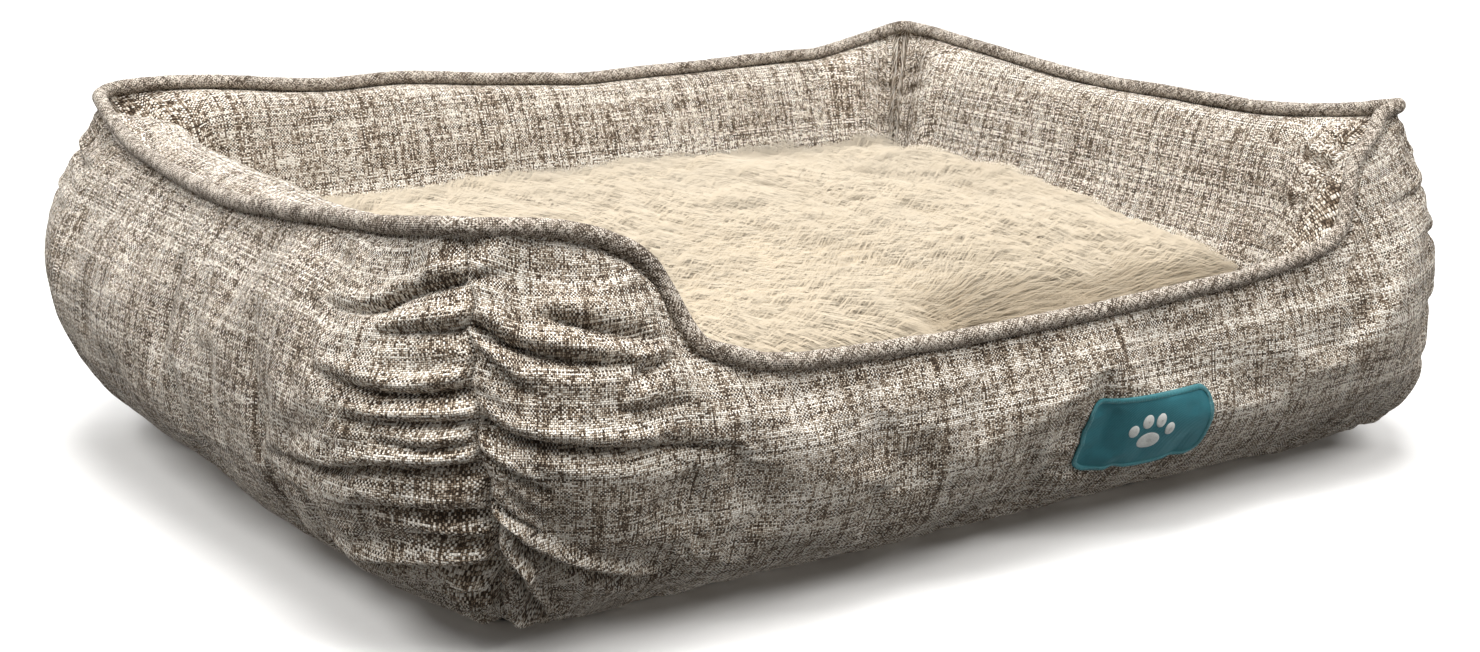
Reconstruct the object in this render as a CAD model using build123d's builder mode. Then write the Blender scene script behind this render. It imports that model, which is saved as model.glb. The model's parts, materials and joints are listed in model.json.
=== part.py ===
from build123d import *
from dataclasses import dataclass
from math import acos, asin, atan2, cos, degrees, pi, radians, sin, sqrt, tan
import os

# A dog sofa bed, in millimetres. X runs along the front wall, Y to the back, Z up,
# and the origin is the centre of the base on the floor.

# Plan of the rim line, where the piping runs
rim_length = 640.0
rim_depth = 498.0
corner_round = 72.0
fan_inset = 90.0

# Height of the rim at the corners, and how the walls swell
corner_rim = 206.0
bulge_out = 55.0
bulge_height = 112.0
foot_in = 30.0
inner_foot_in = 50.0

# Sag of the rim between corners, and how far its middle leans out
left_sag = 22.0
left_lean = 15.0
right_sag = 18.0
right_lean = 8.0
back_sag = 14.0
back_lean = 4.0

# Step-in dip of the front wall
dip_depth = 79.0
dip_lean = 35.0
dip_bulge_height = 103.0
left_shoulder = 222.0
right_shoulder = 230.0
shoulder_run = 27.0
arm_run = 75.0
dip_rise_share = 0.12
arm_lean_share = 0.4

# Cloth, clearances and corner gathers
cloth = 1.2
soft_gap = 0.3
filling_gap = 0.7
corner_gap = 0.3
rim_land = 2.0
seam_draw = 7.0
gather_depth = 2.6
least_gather = 0.15
lower_gathers = 3
upper_gathers = 2
floor_run_share = 2.5

# Base and floor of the well
base_sheet = 1.0
wadding_height = 24.0
lining = 1.0

# Piping on the rim
piping_radius = 4.4
piping_wall = 1.1
piping_seat = 0.7
shoulder_seat = 1.3
piping_overrun = 12.0

# Patch on the front wall
patch_length = 92.0
patch_height = 44.0
patch_corner = 11.0
patch_thickness = 1.1
patch_right = 70.0
patch_centre_height = 63.0
border_width = 3.2
border_rise = 0.9
patch_seat = 0.45

# Cushion in the well
cushion_spread = 1.5
cushion_crown = 128.0
crown_fall = 23.0
cushion_seam_height = 80.0
cushion_corner = 42.0
cushion_side_draw = 5.0
cushion_tuck = 26.0
fur_top = 8.0
underside_cloth = 3.0
crown_power = 6.0
tuck_power = 2.5

# Zip in the cushion's back edge
zip_length = 300.0
zip_depth = 1.2
tape_height = 9.0
tape_thickness = 0.6
tape_overlap = 1.3
coil_width = 4.6
coil_rise = 1.5
coil_end = 6.0
zip_clear = 0.15
slider_length = 11.0
slider_width = 8.6
slider_roof = 1.3
slider_corner = 1.2
bail_length = 5.0
bail_width = 1.6
bail_wire = 1.0
bail_rise = 2.5
pull_length = 22.0
pull_width = 5.2
pull_thickness = 1.0
pull_eye_length = 3.6
pull_eye_width = 2.8
pull_corner = 1.8

# Places worked out from the sizes above
half_length = rim_length / 2
half_depth = rim_depth / 2
wall_base = base_sheet
well_floor = base_sheet + wadding_height + lining
cushion_half_length = half_length - inner_foot_in + cushion_spread
cushion_half_depth = half_depth - inner_foot_in + cushion_spread
slider_start = coil_end + slider_length / 2 - zip_length / 2
zip_face = cushion_half_depth - cushion_side_draw - zip_depth
up = Vector(0, 0, 1)


@dataclass(frozen=True)
class Wall:
    """One stuffed wall of the ring, described as the front wall turned about Z."""

    name: str
    turn: float
    half: float
    offset: float
    sag: float
    lean: float
    seat: float


front_wall = Wall("front", 0, half_length, half_depth, 0, 0, shoulder_seat)
right_wall = Wall("right", 90, half_depth, half_length, right_sag, right_lean, piping_seat)
back_wall = Wall("back", 180, half_length, half_depth, back_sag, back_lean, piping_seat)
left_wall = Wall("left", 270, half_depth, half_length, left_sag, left_lean, piping_seat)

# Places along the front wall, as shares of its half length, from the middle out
front_place_shares = (0.11, 0.22, 0.33, 0.44, 0.53, 0.6, 0.645, 0.685, 0.725, 0.765, 0.81, 0.865, 0.92, 0.963, 1.0)
# Steps in from the cushion's seam, as shares of its half depth and of its tuck
crown_step_shares = (0.02, 0.07, 0.16, 0.32, 0.56)
tuck_step_shares = (0.12, 0.32, 0.62, 1.0)
# Stations of the other walls: shares of the straight stretch, then fan angles
straight_shares = (-0.9, -0.6, -0.3, 0.0, 0.3, 0.6, 0.9)
fan_shares = (0.16, 0.4, 0.64, 0.84, 1.0)
mitre_angle = 45.0


@dataclass(frozen=True)
class Station:
    """A vertical cutting plane of a wall and the section's key sizes in it."""

    plane: Plane
    angle: float
    rim: float
    rim_height: float
    bulge: float
    bulge_height: float
    foot: float
    inner_foot: float
    gather: float


def reach(inset, angle, radius):
    """Distance from the fan's pivot to a line that turns the corner with a radius."""
    slope = tan(radians(angle))
    if slope * inset <= inset - radius:
        return inset / cos(radians(angle))
    run = (inset - radius) * sqrt(2)
    away = radians(mitre_angle - angle)
    return run * cos(away) + sqrt(radius**2 - (run * sin(away)) ** 2)


def station(wall, along, drop, lean):
    """The cutting plane at a place along the rim, and the section's sizes there."""
    pivot = wall.half - fan_inset - corner_gap / 2
    past = max(0.0, min(abs(along), wall.half - corner_gap / 2) - pivot)
    angle = degrees(atan2(past, fan_inset))
    side = 1 if along > 0 else -1
    share = angle / mitre_angle
    held = max(-pivot, min(pivot, along))
    outward = Vector(0, -1, 0).rotate(Axis.Z, wall.turn + side * angle)
    origin = Vector(held, fan_inset - wall.offset, 0).rotate(Axis.Z, wall.turn)
    plane = Plane(origin=origin, x_dir=outward, z_dir=outward.cross(up))
    drawn = seam_draw * share**4
    low = bulge_height + (dip_bulge_height - bulge_height) * drop / dip_depth
    return Station(
        plane=plane,
        angle=angle,
        rim=(fan_inset + lean) / cos(radians(angle)),
        rim_height=corner_rim - drop,
        bulge=reach(fan_inset + bulge_out, angle, corner_round + bulge_out) - drawn,
        bulge_height=low,
        foot=reach(fan_inset - foot_in, angle, corner_round - foot_in),
        inner_foot=(fan_inset - inner_foot_in) / cos(radians(angle)),
        gather=least_gather + gather_depth * share**3,
    )


def eased(share):
    """A share from 0 to 1 that starts and ends gently."""
    held = max(0.0, min(1.0, share))
    return held * held * (3 - 2 * held)


def front_stations():
    """Stations along the front wall, whose rim steps down into the dip."""
    outward = [share * half_length for share in front_place_shares]
    places = [-place for place in reversed(outward)] + [0.0] + outward
    stations = []
    for along in places:
        shoulder = right_shoulder if along > 0 else left_shoulder
        inside = shoulder + shoulder_run - abs(along)
        middle = 1 - dip_rise_share * (along / shoulder) ** 2
        drop = dip_depth * eased(inside / shoulder_run / 2) * max(middle, 0)
        arm = eased((half_length - abs(along)) / arm_run)
        dip = eased(inside / shoulder_run / 2)
        lean = dip_lean * (arm_lean_share * arm + (1 - arm_lean_share) * dip)
        stations.append(station(front_wall, along, drop, lean))
    return stations


def plain_stations(wall):
    """Stations along a wall whose rim only sags between its corners."""
    straight = wall.half - fan_inset
    angles = [mitre_angle * share for share in fan_shares]
    fans = [straight + fan_inset * tan(radians(angle)) for angle in angles]
    places = [-fan for fan in reversed(fans)]
    places += [straight * share for share in straight_shares]
    places += fans
    stations = []
    for along in places:
        middle = 1 - (along / wall.half) ** 2
        stations.append(station(wall, along, wall.sag * middle, wall.lean * middle))
    return stations


def gathered_arc(centre, radius, start, end, count, gather):
    """Points on an arc, pulled in at each gather and pushed out between them."""
    points = []
    for step in range(2 * count + 1):
        angle = start + (end - start) * step / (2 * count)
        swollen = radius + gather if step % 2 else radius - gather
        points.append((centre[0] + swollen * cos(angle), centre[1] + swollen * sin(angle)))
    return points


def outer_points(at, inset, cut):
    """The outer face from the floor over the bulge to a cut beside the rim line."""
    width = at.bulge - at.foot
    rise = at.bulge_height - wall_base
    radius = (width**2 + rise**2) / (2 * width)
    centre = (at.bulge - radius, at.bulge_height)
    low = gathered_arc(centre, radius - inset, -asin(rise / radius), 0, lower_gathers, at.gather)
    low[0] = (at.foot - floor_run_share * inset, wall_base)
    turn = -asin(rise / radius) * (1 - 1 / (2 * lower_gathers))
    low[1] = (centre[0] + (radius - inset) * cos(turn), centre[1] + (radius - inset) * sin(turn))
    width = at.bulge - at.rim
    rise = at.rim_height - at.bulge_height
    radius = (width**2 + rise**2) / (2 * width)
    centre = (at.bulge - radius, at.bulge_height)
    high = gathered_arc(centre, radius - inset, 0, asin(rise / radius), upper_gathers, at.gather)
    high[-1] = (cut, centre[1] + sqrt((radius - inset) ** 2 - (cut - centre[0]) ** 2))
    return low + high[1:]


def inner_points(at, inset, cut):
    """The inner face from the rim line down to the well's floor, as one arc."""
    width = at.rim - at.inner_foot
    rise = at.rim_height - wall_base
    radius = (width**2 + rise**2) / (2 * width)
    centre = (at.inner_foot + radius, wall_base)
    start = acos((cut - centre[0]) / (radius - inset))
    points = []
    for step in range(3):
        angle = start + (pi - start) * step / 2
        points.append((centre[0] + (radius - inset) * cos(angle), centre[1] + (radius - inset) * sin(angle)))
    return points


def arc_chain(points):
    """Three-point arcs through every other point, inside a line builder."""
    for first in range(0, len(points) - 2, 2):
        ThreePointArc(*points[first : first + 3])


def lofted(stations, chains):
    """A loft through closed sections, each two chains of arcs joined by straight edges."""
    with BuildPart() as piece:
        for at in stations:
            first, second = chains(at)
            with BuildSketch(at.plane):
                with BuildLine():
                    arc_chain(first)
                    Line(first[-1], second[0])
                    arc_chain(second)
                    Line(second[-1], first[0])
                make_face()
        loft()
    return piece


def outer_cloth(at):
    """Section of a wall's outer cloth."""
    cut = at.rim + soft_gap / 2
    return outer_points(at, 0, cut), outer_points(at, cloth, cut)[::-1]


def inner_cloth(at):
    """Section of a wall's inner cloth."""
    cut = at.rim - soft_gap / 2
    return inner_points(at, 0, cut), inner_points(at, cloth, cut)[::-1]


def stuffing(at):
    """Section of a wall's filling, inside both cloths."""
    inset = cloth + filling_gap
    return outer_points(at, inset, at.rim + rim_land), inner_points(at, inset, at.rim - rim_land)


def rim_points(stations):
    """The rim line in space, one point at each station."""
    return [at.plane.from_local_coords(Vector(at.rim, at.rim_height, 0)) for at in stations]


def piping_route(wall, stations):
    """Corners of the piping's centre line, seated on the rim line."""
    rim = rim_points(stations)
    route = []
    for index, point in enumerate(rim):
        before = rim[max(index - 1, 0)]
        after = rim[min(index + 1, len(rim) - 1)]
        along = (after - before).normalized()
        seat = (up - along * up.dot(along)).normalized()
        route.append(point + seat * (piping_radius + wall.seat))
    first = (route[0] - route[1]).normalized() * piping_overrun
    last = (route[-1] - route[-2]).normalized() * piping_overrun
    return [route[0] + first] + route[1:-1] + [route[-1] + last]


def easy_radii(route):
    """A radius for each corner of a route, as large as its two runs allow."""
    radii = []
    for before, point, after in zip(route, route[1:], route[2:]):
        turn = radians((point - before).get_angle(after - point))
        run = min((point - before).length, (after - point).length)
        radii.append(0.45 * run / tan(turn / 2))
    return radii


def piping(wall, stations, outside, inside):
    """A length of round piping along a wall's rim, mitred at both corners."""
    route = piping_route(wall, stations)
    with BuildPart() as tube:
        with BuildLine():
            FilletPolyline(*route, radius=easy_radii(route))
        with BuildSketch(Plane(origin=route[0], z_dir=route[1] - route[0])):
            Circle(outside)
            if inside:
                Circle(inside, mode=Mode.SUBTRACT)
        sweep()
        for side in (-1, 1):
            corner = Vector(side * (wall.half - corner_gap / 2), -wall.offset, 0).rotate(Axis.Z, wall.turn)
            facing = Vector(-side, -1, 0).rotate(Axis.Z, wall.turn)
            split(bisect_by=Plane(origin=corner, z_dir=facing), keep=Keep.TOP)
    return tube


def keep(part, name):
    """Label a finished piece and write its file."""
    part.part.label = name
    export_step(part.part, f"parts/{name}.step")


def rounded_plate(length, depth, radius, low, height):
    """A flat plate with rounded corners, centred on the bed."""
    with BuildPart() as plate:
        with BuildSketch(Plane.XY.offset(low)):
            RectangleRounded(length, depth, radius)
        extrude(amount=height)
    return plate


def floor_pieces():
    """Base sheet, wadding and lining under the cushion."""
    sheet_length = rim_length - 2 * foot_in
    sheet_depth = rim_depth - 2 * foot_in
    keep(rounded_plate(sheet_length, sheet_depth, corner_round - foot_in, 0, base_sheet), "bottom_sheet")
    inside = 2 * (inner_foot_in + soft_gap)
    well_length = rim_length - inside
    well_depth = rim_depth - inside
    wadding = rounded_plate(well_length, well_depth, soft_gap, base_sheet, wadding_height)
    keep(wadding, "floor_wadding")
    top = base_sheet + wadding_height
    keep(rounded_plate(well_length, well_depth, soft_gap, top, lining), "floor_lining")


def cushion_layers(skin, crown, floor):
    """Heights, insets and tilts of the cushion's outline, over and under its seam."""
    over = []
    for share in crown_step_shares:
        rise = (1 - (1 - share) ** crown_power) ** (1 / crown_power)
        height = cushion_seam_height + (crown - cushion_seam_height) * rise
        tilt = degrees(atan2(crown_fall * rise, cushion_half_depth))
        over.append((height, skin + share * (cushion_half_depth - skin), tilt))
    under = []
    for share in tuck_step_shares:
        fall = (1 - (1 - share) ** tuck_power) ** (1 / tuck_power)
        height = cushion_seam_height + (floor - cushion_seam_height) * fall
        under.append((height, skin + share * cushion_tuck, 0))
    return over, under


def cushion_loft(layers, mode=Mode.ADD):
    """Rounded outlines, drawn in between their corners and sunk in front, joined layer by layer."""
    sketches = []
    for height, inset, tilt in layers:
        length = cushion_half_length - inset
        depth = cushion_half_depth - inset
        shrink = depth / cushion_half_depth
        turn = cushion_corner * shrink
        draw = cushion_side_draw * shrink
        nook = turn * (1 - cos(radians(mitre_angle)))
        facing = Vector(0, 0, 1).rotate(Axis.X, tilt)
        with BuildSketch(Plane(origin=(0, 0, height), x_dir=(1, 0, 0), z_dir=facing), mode=Mode.PRIVATE) as outline:
            with BuildLine():
                ThreePointArc((length, turn - depth), (length - draw, 0), (length, depth - turn))
                ThreePointArc((length, depth - turn), (length - nook, depth - nook), (length - turn, depth))
                ThreePointArc((length - turn, depth), (0, depth - draw), (turn - length, depth))
                ThreePointArc((turn - length, depth), (nook - length, depth - nook), (-length, depth - turn))
                ThreePointArc((-length, depth - turn), (draw - length, 0), (-length, turn - depth))
                ThreePointArc((-length, turn - depth), (nook - length, nook - depth), (turn - length, -depth))
                ThreePointArc((turn - length, -depth), (0, draw - depth), (length - turn, -depth))
                ThreePointArc((length - turn, -depth), (length - nook, nook - depth), (length, turn - depth))
            make_face()
        sketches.append(outline.sketch)
    loft(sketches, ruled=True, mode=mode)


def zip_rebate():
    """The flat strip cut into the cushion's back edge, where the zip lies."""
    height = coil_width + 2 * (tape_height - tape_overlap + soft_gap)
    with Locations((0, zip_face, cushion_seam_height)):
        Box(
            zip_length + 2 * soft_gap,
            2 * (cushion_side_draw + zip_depth),
            height,
            align=(Align.CENTER, Align.MIN, Align.CENTER),
            mode=Mode.SUBTRACT,
        )


def cushion_pieces():
    """Fur top, underside and filling of the loose cushion."""
    over, under = cushion_layers(0, cushion_crown, well_floor)
    with BuildPart() as top:
        cushion_loft([(cushion_seam_height, 0, 0)] + over)
        inner, _ = cushion_layers(fur_top, cushion_crown - fur_top, well_floor)
        cushion_loft([(cushion_seam_height, fur_top, 0)] + inner, Mode.SUBTRACT)
        zip_rebate()
    keep(top, "cushion_fur_top")
    with BuildPart() as underside:
        cushion_loft([(cushion_seam_height, 0, 0)] + under)
        _, inner = cushion_layers(underside_cloth, cushion_crown, well_floor + underside_cloth)
        cushion_loft([(cushion_seam_height, underside_cloth, 0)] + inner, Mode.SUBTRACT)
        zip_rebate()
    keep(underside, "cushion_underside")
    with BuildPart() as filling:
        skin = fur_top + soft_gap
        over, _ = cushion_layers(skin, cushion_crown - skin, well_floor)
        skin = underside_cloth + soft_gap
        _, under = cushion_layers(skin, cushion_crown, well_floor + skin)
        cushion_loft(under[::-1] + [(cushion_seam_height, fur_top + soft_gap, 0)] + over)
    keep(filling, "cushion_filling")


def zip_pieces():
    """Tape halves, coil, slider and pull of the zip, laid on the rebate's flat."""
    with BuildPart() as tape:
        for side in (-1, 1):
            inner_edge = coil_width / 2 - tape_overlap
            with Locations((0, zip_face, cushion_seam_height + side * (inner_edge + tape_height / 2))):
                Box(zip_length, tape_thickness, tape_height, align=(Align.CENTER, Align.MIN, Align.CENTER))
    keep(tape, "zip_tape")
    coil_foot = zip_face + tape_thickness
    with BuildPart() as coil:
        with Locations((0, coil_foot, cushion_seam_height)):
            Box(
                zip_length - 2 * coil_end,
                coil_rise,
                coil_width,
                align=(Align.CENTER, Align.MIN, Align.CENTER),
            )
        crest = coil.edges().filter_by(Axis.X).group_by(Axis.Y)[-1]
        chamfer(crest, coil_rise / 2)
    keep(coil, "zip_coil")
    roof_foot = coil_foot + coil_rise + zip_clear
    flat = Plane(origin=(slider_start, 0, cushion_seam_height), x_dir=(1, 0, 0), z_dir=(0, 1, 0))
    with BuildPart() as slider:
        with BuildSketch(flat.offset(coil_foot + zip_clear)):
            RectangleRounded(slider_length, slider_width, slider_corner)
        extrude(amount=coil_rise + slider_roof)
        with BuildSketch(flat.offset(coil_foot)):
            Rectangle(2 * slider_length, coil_width + 2 * zip_clear)
        extrude(amount=coil_rise + zip_clear, mode=Mode.SUBTRACT)
        with BuildSketch(Plane(origin=(slider_start, roof_foot + slider_roof, cushion_seam_height))):
            with Locations((0, bail_rise / 2)):
                Rectangle(bail_length, bail_rise)
            with Locations((0, (bail_rise - bail_wire) / 2)):
                Rectangle(bail_length - 2 * bail_wire, bail_rise - bail_wire, mode=Mode.SUBTRACT)
        extrude(amount=bail_width / 2, both=True)
    keep(slider, "zip_slider")
    with BuildPart() as pull:
        with BuildSketch(flat.offset(roof_foot + slider_roof + zip_clear)):
            reach_back = bail_wire / 2
            with Locations((pull_length / 2 - reach_back, 0)):
                RectangleRounded(pull_length, pull_width, pull_corner)
            with Locations((reach_back + pull_eye_length / 2, 0)):
                Rectangle(pull_eye_length, pull_eye_width, mode=Mode.SUBTRACT)
        extrude(amount=pull_thickness)
    keep(pull, "zip_pull")


def patch_pieces():
    """Sewn patch and its raised border, bent to the front wall's lower swell."""
    at = station(front_wall, 0, dip_depth * (1 - dip_rise_share * (patch_right / right_shoulder) ** 2), dip_lean)
    width = at.bulge - at.foot
    rise = at.bulge_height - wall_base
    radius = (width**2 + rise**2) / (2 * width)
    axis_y = fan_inset - half_depth - at.bulge + radius
    tilt = asin((at.bulge_height - patch_centre_height) / radius)
    facing = Vector(0, -cos(tilt), -sin(tilt))
    centre = Vector(patch_right, axis_y, at.bulge_height) + facing * radius
    face = Plane(origin=centre, x_dir=(1, 0, 0), z_dir=facing)
    low = radius + patch_seat
    side = Plane(origin=(patch_right, axis_y, at.bulge_height), x_dir=(0, -1, 0), z_dir=(1, 0, 0))
    with BuildPart() as border:
        with BuildSketch(side):
            Circle(low + patch_thickness + border_rise)
            Circle(low, mode=Mode.SUBTRACT)
        extrude(amount=patch_length, both=True)
        with BuildSketch(face):
            RectangleRounded(patch_length, patch_height, patch_corner)
            RectangleRounded(
                patch_length - 2 * border_width,
                patch_height - 2 * border_width,
                patch_corner - border_width,
                mode=Mode.SUBTRACT,
            )
        extrude(amount=patch_corner, both=True, mode=Mode.INTERSECT)
    keep(border, "patch_border")
    inside = border_width + patch_seat
    with BuildPart() as patch:
        with BuildSketch(side):
            Circle(low + patch_thickness)
            Circle(low, mode=Mode.SUBTRACT)
        extrude(amount=patch_length, both=True)
        with BuildSketch(face):
            RectangleRounded(patch_length - 2 * inside, patch_height - 2 * inside, patch_corner - inside)
        extrude(amount=patch_corner, both=True, mode=Mode.INTERSECT)
    keep(patch, "patch")


def main():
    """Make every piece of the bed."""
    os.makedirs("parts", exist_ok=True)
    floor_pieces()
    cushion_pieces()
    zip_pieces()
    patch_pieces()
    for wall in (front_wall, right_wall, back_wall, left_wall):
        stations = front_stations() if wall is front_wall else plain_stations(wall)
        keep(lofted(stations, outer_cloth), f"{wall.name}_outer_panel")
        keep(lofted(stations, inner_cloth), f"{wall.name}_inner_panel")
        keep(lofted(stations, stuffing), f"{wall.name}_filling")
        keep(piping(wall, stations, piping_radius, piping_radius - piping_wall), f"{wall.name}_piping_cover")
        cord = piping_radius - piping_wall - soft_gap
        keep(piping(wall, stations, cord, 0), f"{wall.name}_piping_cord")


main()
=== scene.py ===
"""Looks of the dog sofa bed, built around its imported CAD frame. Lengths are in metres."""

import json
import logging
import math
from dataclasses import dataclass, field
from enum import Enum
from typing import Any, Optional, Sequence

import bmesh
import bpy
import numpy as np
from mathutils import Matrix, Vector

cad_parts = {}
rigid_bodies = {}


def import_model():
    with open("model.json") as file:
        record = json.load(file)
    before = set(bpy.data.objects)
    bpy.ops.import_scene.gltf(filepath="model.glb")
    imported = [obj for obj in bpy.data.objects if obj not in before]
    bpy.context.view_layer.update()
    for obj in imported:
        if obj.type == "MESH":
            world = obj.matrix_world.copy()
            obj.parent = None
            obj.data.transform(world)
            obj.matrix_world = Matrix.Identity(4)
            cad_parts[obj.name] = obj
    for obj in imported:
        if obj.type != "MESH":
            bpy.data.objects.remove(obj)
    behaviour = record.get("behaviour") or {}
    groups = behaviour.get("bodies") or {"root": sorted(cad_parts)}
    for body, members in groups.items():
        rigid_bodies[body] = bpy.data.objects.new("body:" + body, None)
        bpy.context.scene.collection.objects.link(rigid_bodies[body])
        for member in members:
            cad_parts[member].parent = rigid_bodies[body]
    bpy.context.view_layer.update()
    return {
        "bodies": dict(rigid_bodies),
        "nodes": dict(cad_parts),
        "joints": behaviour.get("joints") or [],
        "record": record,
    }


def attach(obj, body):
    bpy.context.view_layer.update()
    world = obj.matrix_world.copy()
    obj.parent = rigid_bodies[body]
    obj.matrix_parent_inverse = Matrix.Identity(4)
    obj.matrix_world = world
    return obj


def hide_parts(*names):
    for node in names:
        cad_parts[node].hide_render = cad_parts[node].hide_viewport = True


log = logging.getLogger("dog_sofa_bed")
Array = np.ndarray
CLOTH_MAP = "Cloth"
QUARTER = math.pi / 4
TINY = 1e-9  # keeps a division from zero
HALF_LENGTH = 0.320  # from the middle to the rim of a side wall
HALF_DEPTH = 0.249  # from the middle to the rim of the front or back wall


class Noise:
    """Smooth random field on a plane, from a seeded lattice that repeats."""

    def __init__(self, seed: int, cells: int = 64) -> None:
        """Fill the lattice from a seed, with so many points along each side before it repeats."""
        self.cells = cells
        self.lattice = np.random.default_rng(seed).uniform(-1, 1, (cells, cells))

    def at(self, x: Array, y: Array, size: float, stretch: float = 1.0) -> Array:
        """Field between -1 and 1: lattice values blended with the smooth step t*t*(3-2t).

        Args:
            x: First coordinate.
            y: Second coordinate.
            size: Distance between lattice points along y.
            stretch: How many times longer the features are along x.

        Returns:
            The field's values at the points.
        """
        gx, gy = np.broadcast_arrays(x / (size * stretch), y / size)
        ix, iy = np.floor(gx).astype(int), np.floor(gy).astype(int)
        tx, ty = gx - ix, gy - iy
        tx, ty = tx * tx * (3 - 2 * tx), ty * ty * (3 - 2 * ty)
        near = self.lattice[ix % self.cells, iy % self.cells]
        east = self.lattice[(ix + 1) % self.cells, iy % self.cells]
        north = self.lattice[ix % self.cells, (iy + 1) % self.cells]
        far = self.lattice[(ix + 1) % self.cells, (iy + 1) % self.cells]
        return (near * (1 - tx) + east * tx) * (1 - ty) + (north * (1 - tx) + far * tx) * ty


def eased(share: Array) -> Array:
    """Smooth step t*t*(3-2t) of a share held between 0 and 1."""
    held = np.clip(share, 0, 1)
    return held * held * (3 - 2 * held)


def hill(distance: Array, width: float) -> Array:
    """Bell curve exp(-(distance/width)^2)."""
    return np.exp(-((distance / width) ** 2))


def unit(vectors: Array, least: float = 0.0) -> Array:
    """Vectors divided by their length plus a least amount, which keeps it from zero."""
    return vectors / (np.linalg.norm(vectors, axis=-1, keepdims=True) + least)


def run_along(line: Array) -> Array:
    """Length along a line up to each of its points: the sum of the steps before it."""
    return np.r_[0, np.cumsum(np.linalg.norm(np.diff(line, axis=0), axis=1))]


@dataclass
class Surface:
    """Points and cloth coordinates of one mesh, gathered before it is made."""

    points: list = field(default_factory=list)
    quads: list = field(default_factory=list)
    quad_maps: list = field(default_factory=list)
    corners: list = field(default_factory=list)
    corner_maps: list = field(default_factory=list)
    count: int = 0

    def grid(self, points: Array, cloth: Array, wrap: bool = False, flip: bool = False) -> None:
        """Add a grid of four-sided faces between neighbouring rows and columns.

        Args:
            points: Points, rows by columns by 3.
            cloth: Cloth coordinates, rows by columns (one more when wrapped) by 2.
            wrap: Join the last column to the first.
            flip: Turn the faces round.
        """
        rows, columns = points.shape[:2]
        last = columns if wrap else columns - 1
        i, j = np.meshgrid(np.arange(rows - 1), np.arange(last), indexing="ij")
        i, j = i.ravel(), j.ravel()
        turn = [(i, j), (i + 1, j), (i + 1, j + 1), (i, j + 1)]
        turn = turn[::-1] if flip else turn
        self.quads.append(np.stack([a * columns + b % columns for a, b in turn], 1) + self.count)
        self.quad_maps.append(np.stack([cloth[a, b] for a, b in turn], 1))
        self.points.append(points.reshape(-1, 3))
        self.count += rows * columns

    def cap(self, ring: Array, cloth: Array, flip: bool = False) -> None:
        """Close a ring with triangles to its middle.

        Args:
            ring: Points of the ring.
            cloth: Cloth coordinates given to the whole cap.
            flip: Turn the faces round.
        """
        size = len(ring)
        near = np.arange(size) + self.count
        far = (np.arange(size) + 1) % size + self.count
        middle = np.full(size, size + self.count)
        faces = np.stack([far, near, middle] if flip else [near, far, middle], 1)
        self.corners.append(faces)
        self.corner_maps.append(np.broadcast_to(cloth, (size, 3, 2)).copy())
        self.points.append(np.vstack([ring, ring.mean(0)]))
        self.count += size + 1

    def tube(
        self, path: Array, side: Array, lift: Array, radii: Array, sides: int, start: float = 0.0
    ) -> None:
        """Add a closed tube: path + radius*(side*cos(t) + lift*sin(t)).

        Args:
            path: Middle line, one point a ring.
            side: Unit vectors across the path.
            lift: Unit vectors across the path, square to side.
            radii: Radius at each ring, or at each ring and side.
            sides: Points around.
            start: Cloth coordinate at the first ring.
        """
        turn = np.linspace(0, 2 * math.pi, sides + 1)
        wide = np.broadcast_to(radii.reshape(len(path), -1), (len(path), sides))
        ring = side[:, None] * np.cos(turn[:-1])[:, None] + lift[:, None] * np.sin(turn[:-1])[:, None]
        points = path[:, None] + ring * wide[..., None]
        along = start + run_along(path)
        around = turn * float(np.mean(radii))
        cloth = np.stack(np.meshgrid(along, around, indexing="ij"), -1)
        self.grid(points, cloth, wrap=True, flip=True)
        self.cap(points[0], cloth[0, 0], flip=True)
        self.cap(points[-1], cloth[-1, 0])

    def make(self, name: str) -> bpy.types.Object:
        """Turn what was gathered into a smooth object at the origin.

        Args:
            name: Name of the object and its mesh.

        Returns:
            The new object, linked to the scene.
        """
        points = np.vstack(self.points)
        loops = [quad.ravel() for quad in self.quads] + [corner.ravel() for corner in self.corners]
        maps = [m.reshape(-1, 2) for m in self.quad_maps] + [m.reshape(-1, 2) for m in self.corner_maps]
        sizes = [np.full(len(q), 4) for q in self.quads] + [np.full(len(c), 3) for c in self.corners]
        loops, maps, sizes = np.concatenate(loops), np.concatenate(maps), np.concatenate(sizes)
        mesh = bpy.data.meshes.new(name)
        mesh.vertices.add(len(points))
        mesh.vertices.foreach_set("co", points.astype(np.float32).ravel())
        mesh.loops.add(len(loops))
        mesh.loops.foreach_set("vertex_index", loops.astype(np.int32))
        mesh.polygons.add(len(sizes))
        mesh.polygons.foreach_set("loop_start", np.r_[0, np.cumsum(sizes)[:-1]].astype(np.int32))
        mesh.polygons.foreach_set("use_smooth", np.ones(len(sizes), bool))
        mesh.uv_layers.new(name=CLOTH_MAP)
        mesh.update(calc_edges=True)
        mesh.validate()
        layer = mesh.uv_layers[CLOTH_MAP]
        layer.data.foreach_set("uv", maps.astype(np.float32).ravel())
        made = bpy.data.objects.new(name, mesh)
        bpy.context.scene.collection.objects.link(made)
        return made


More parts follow.
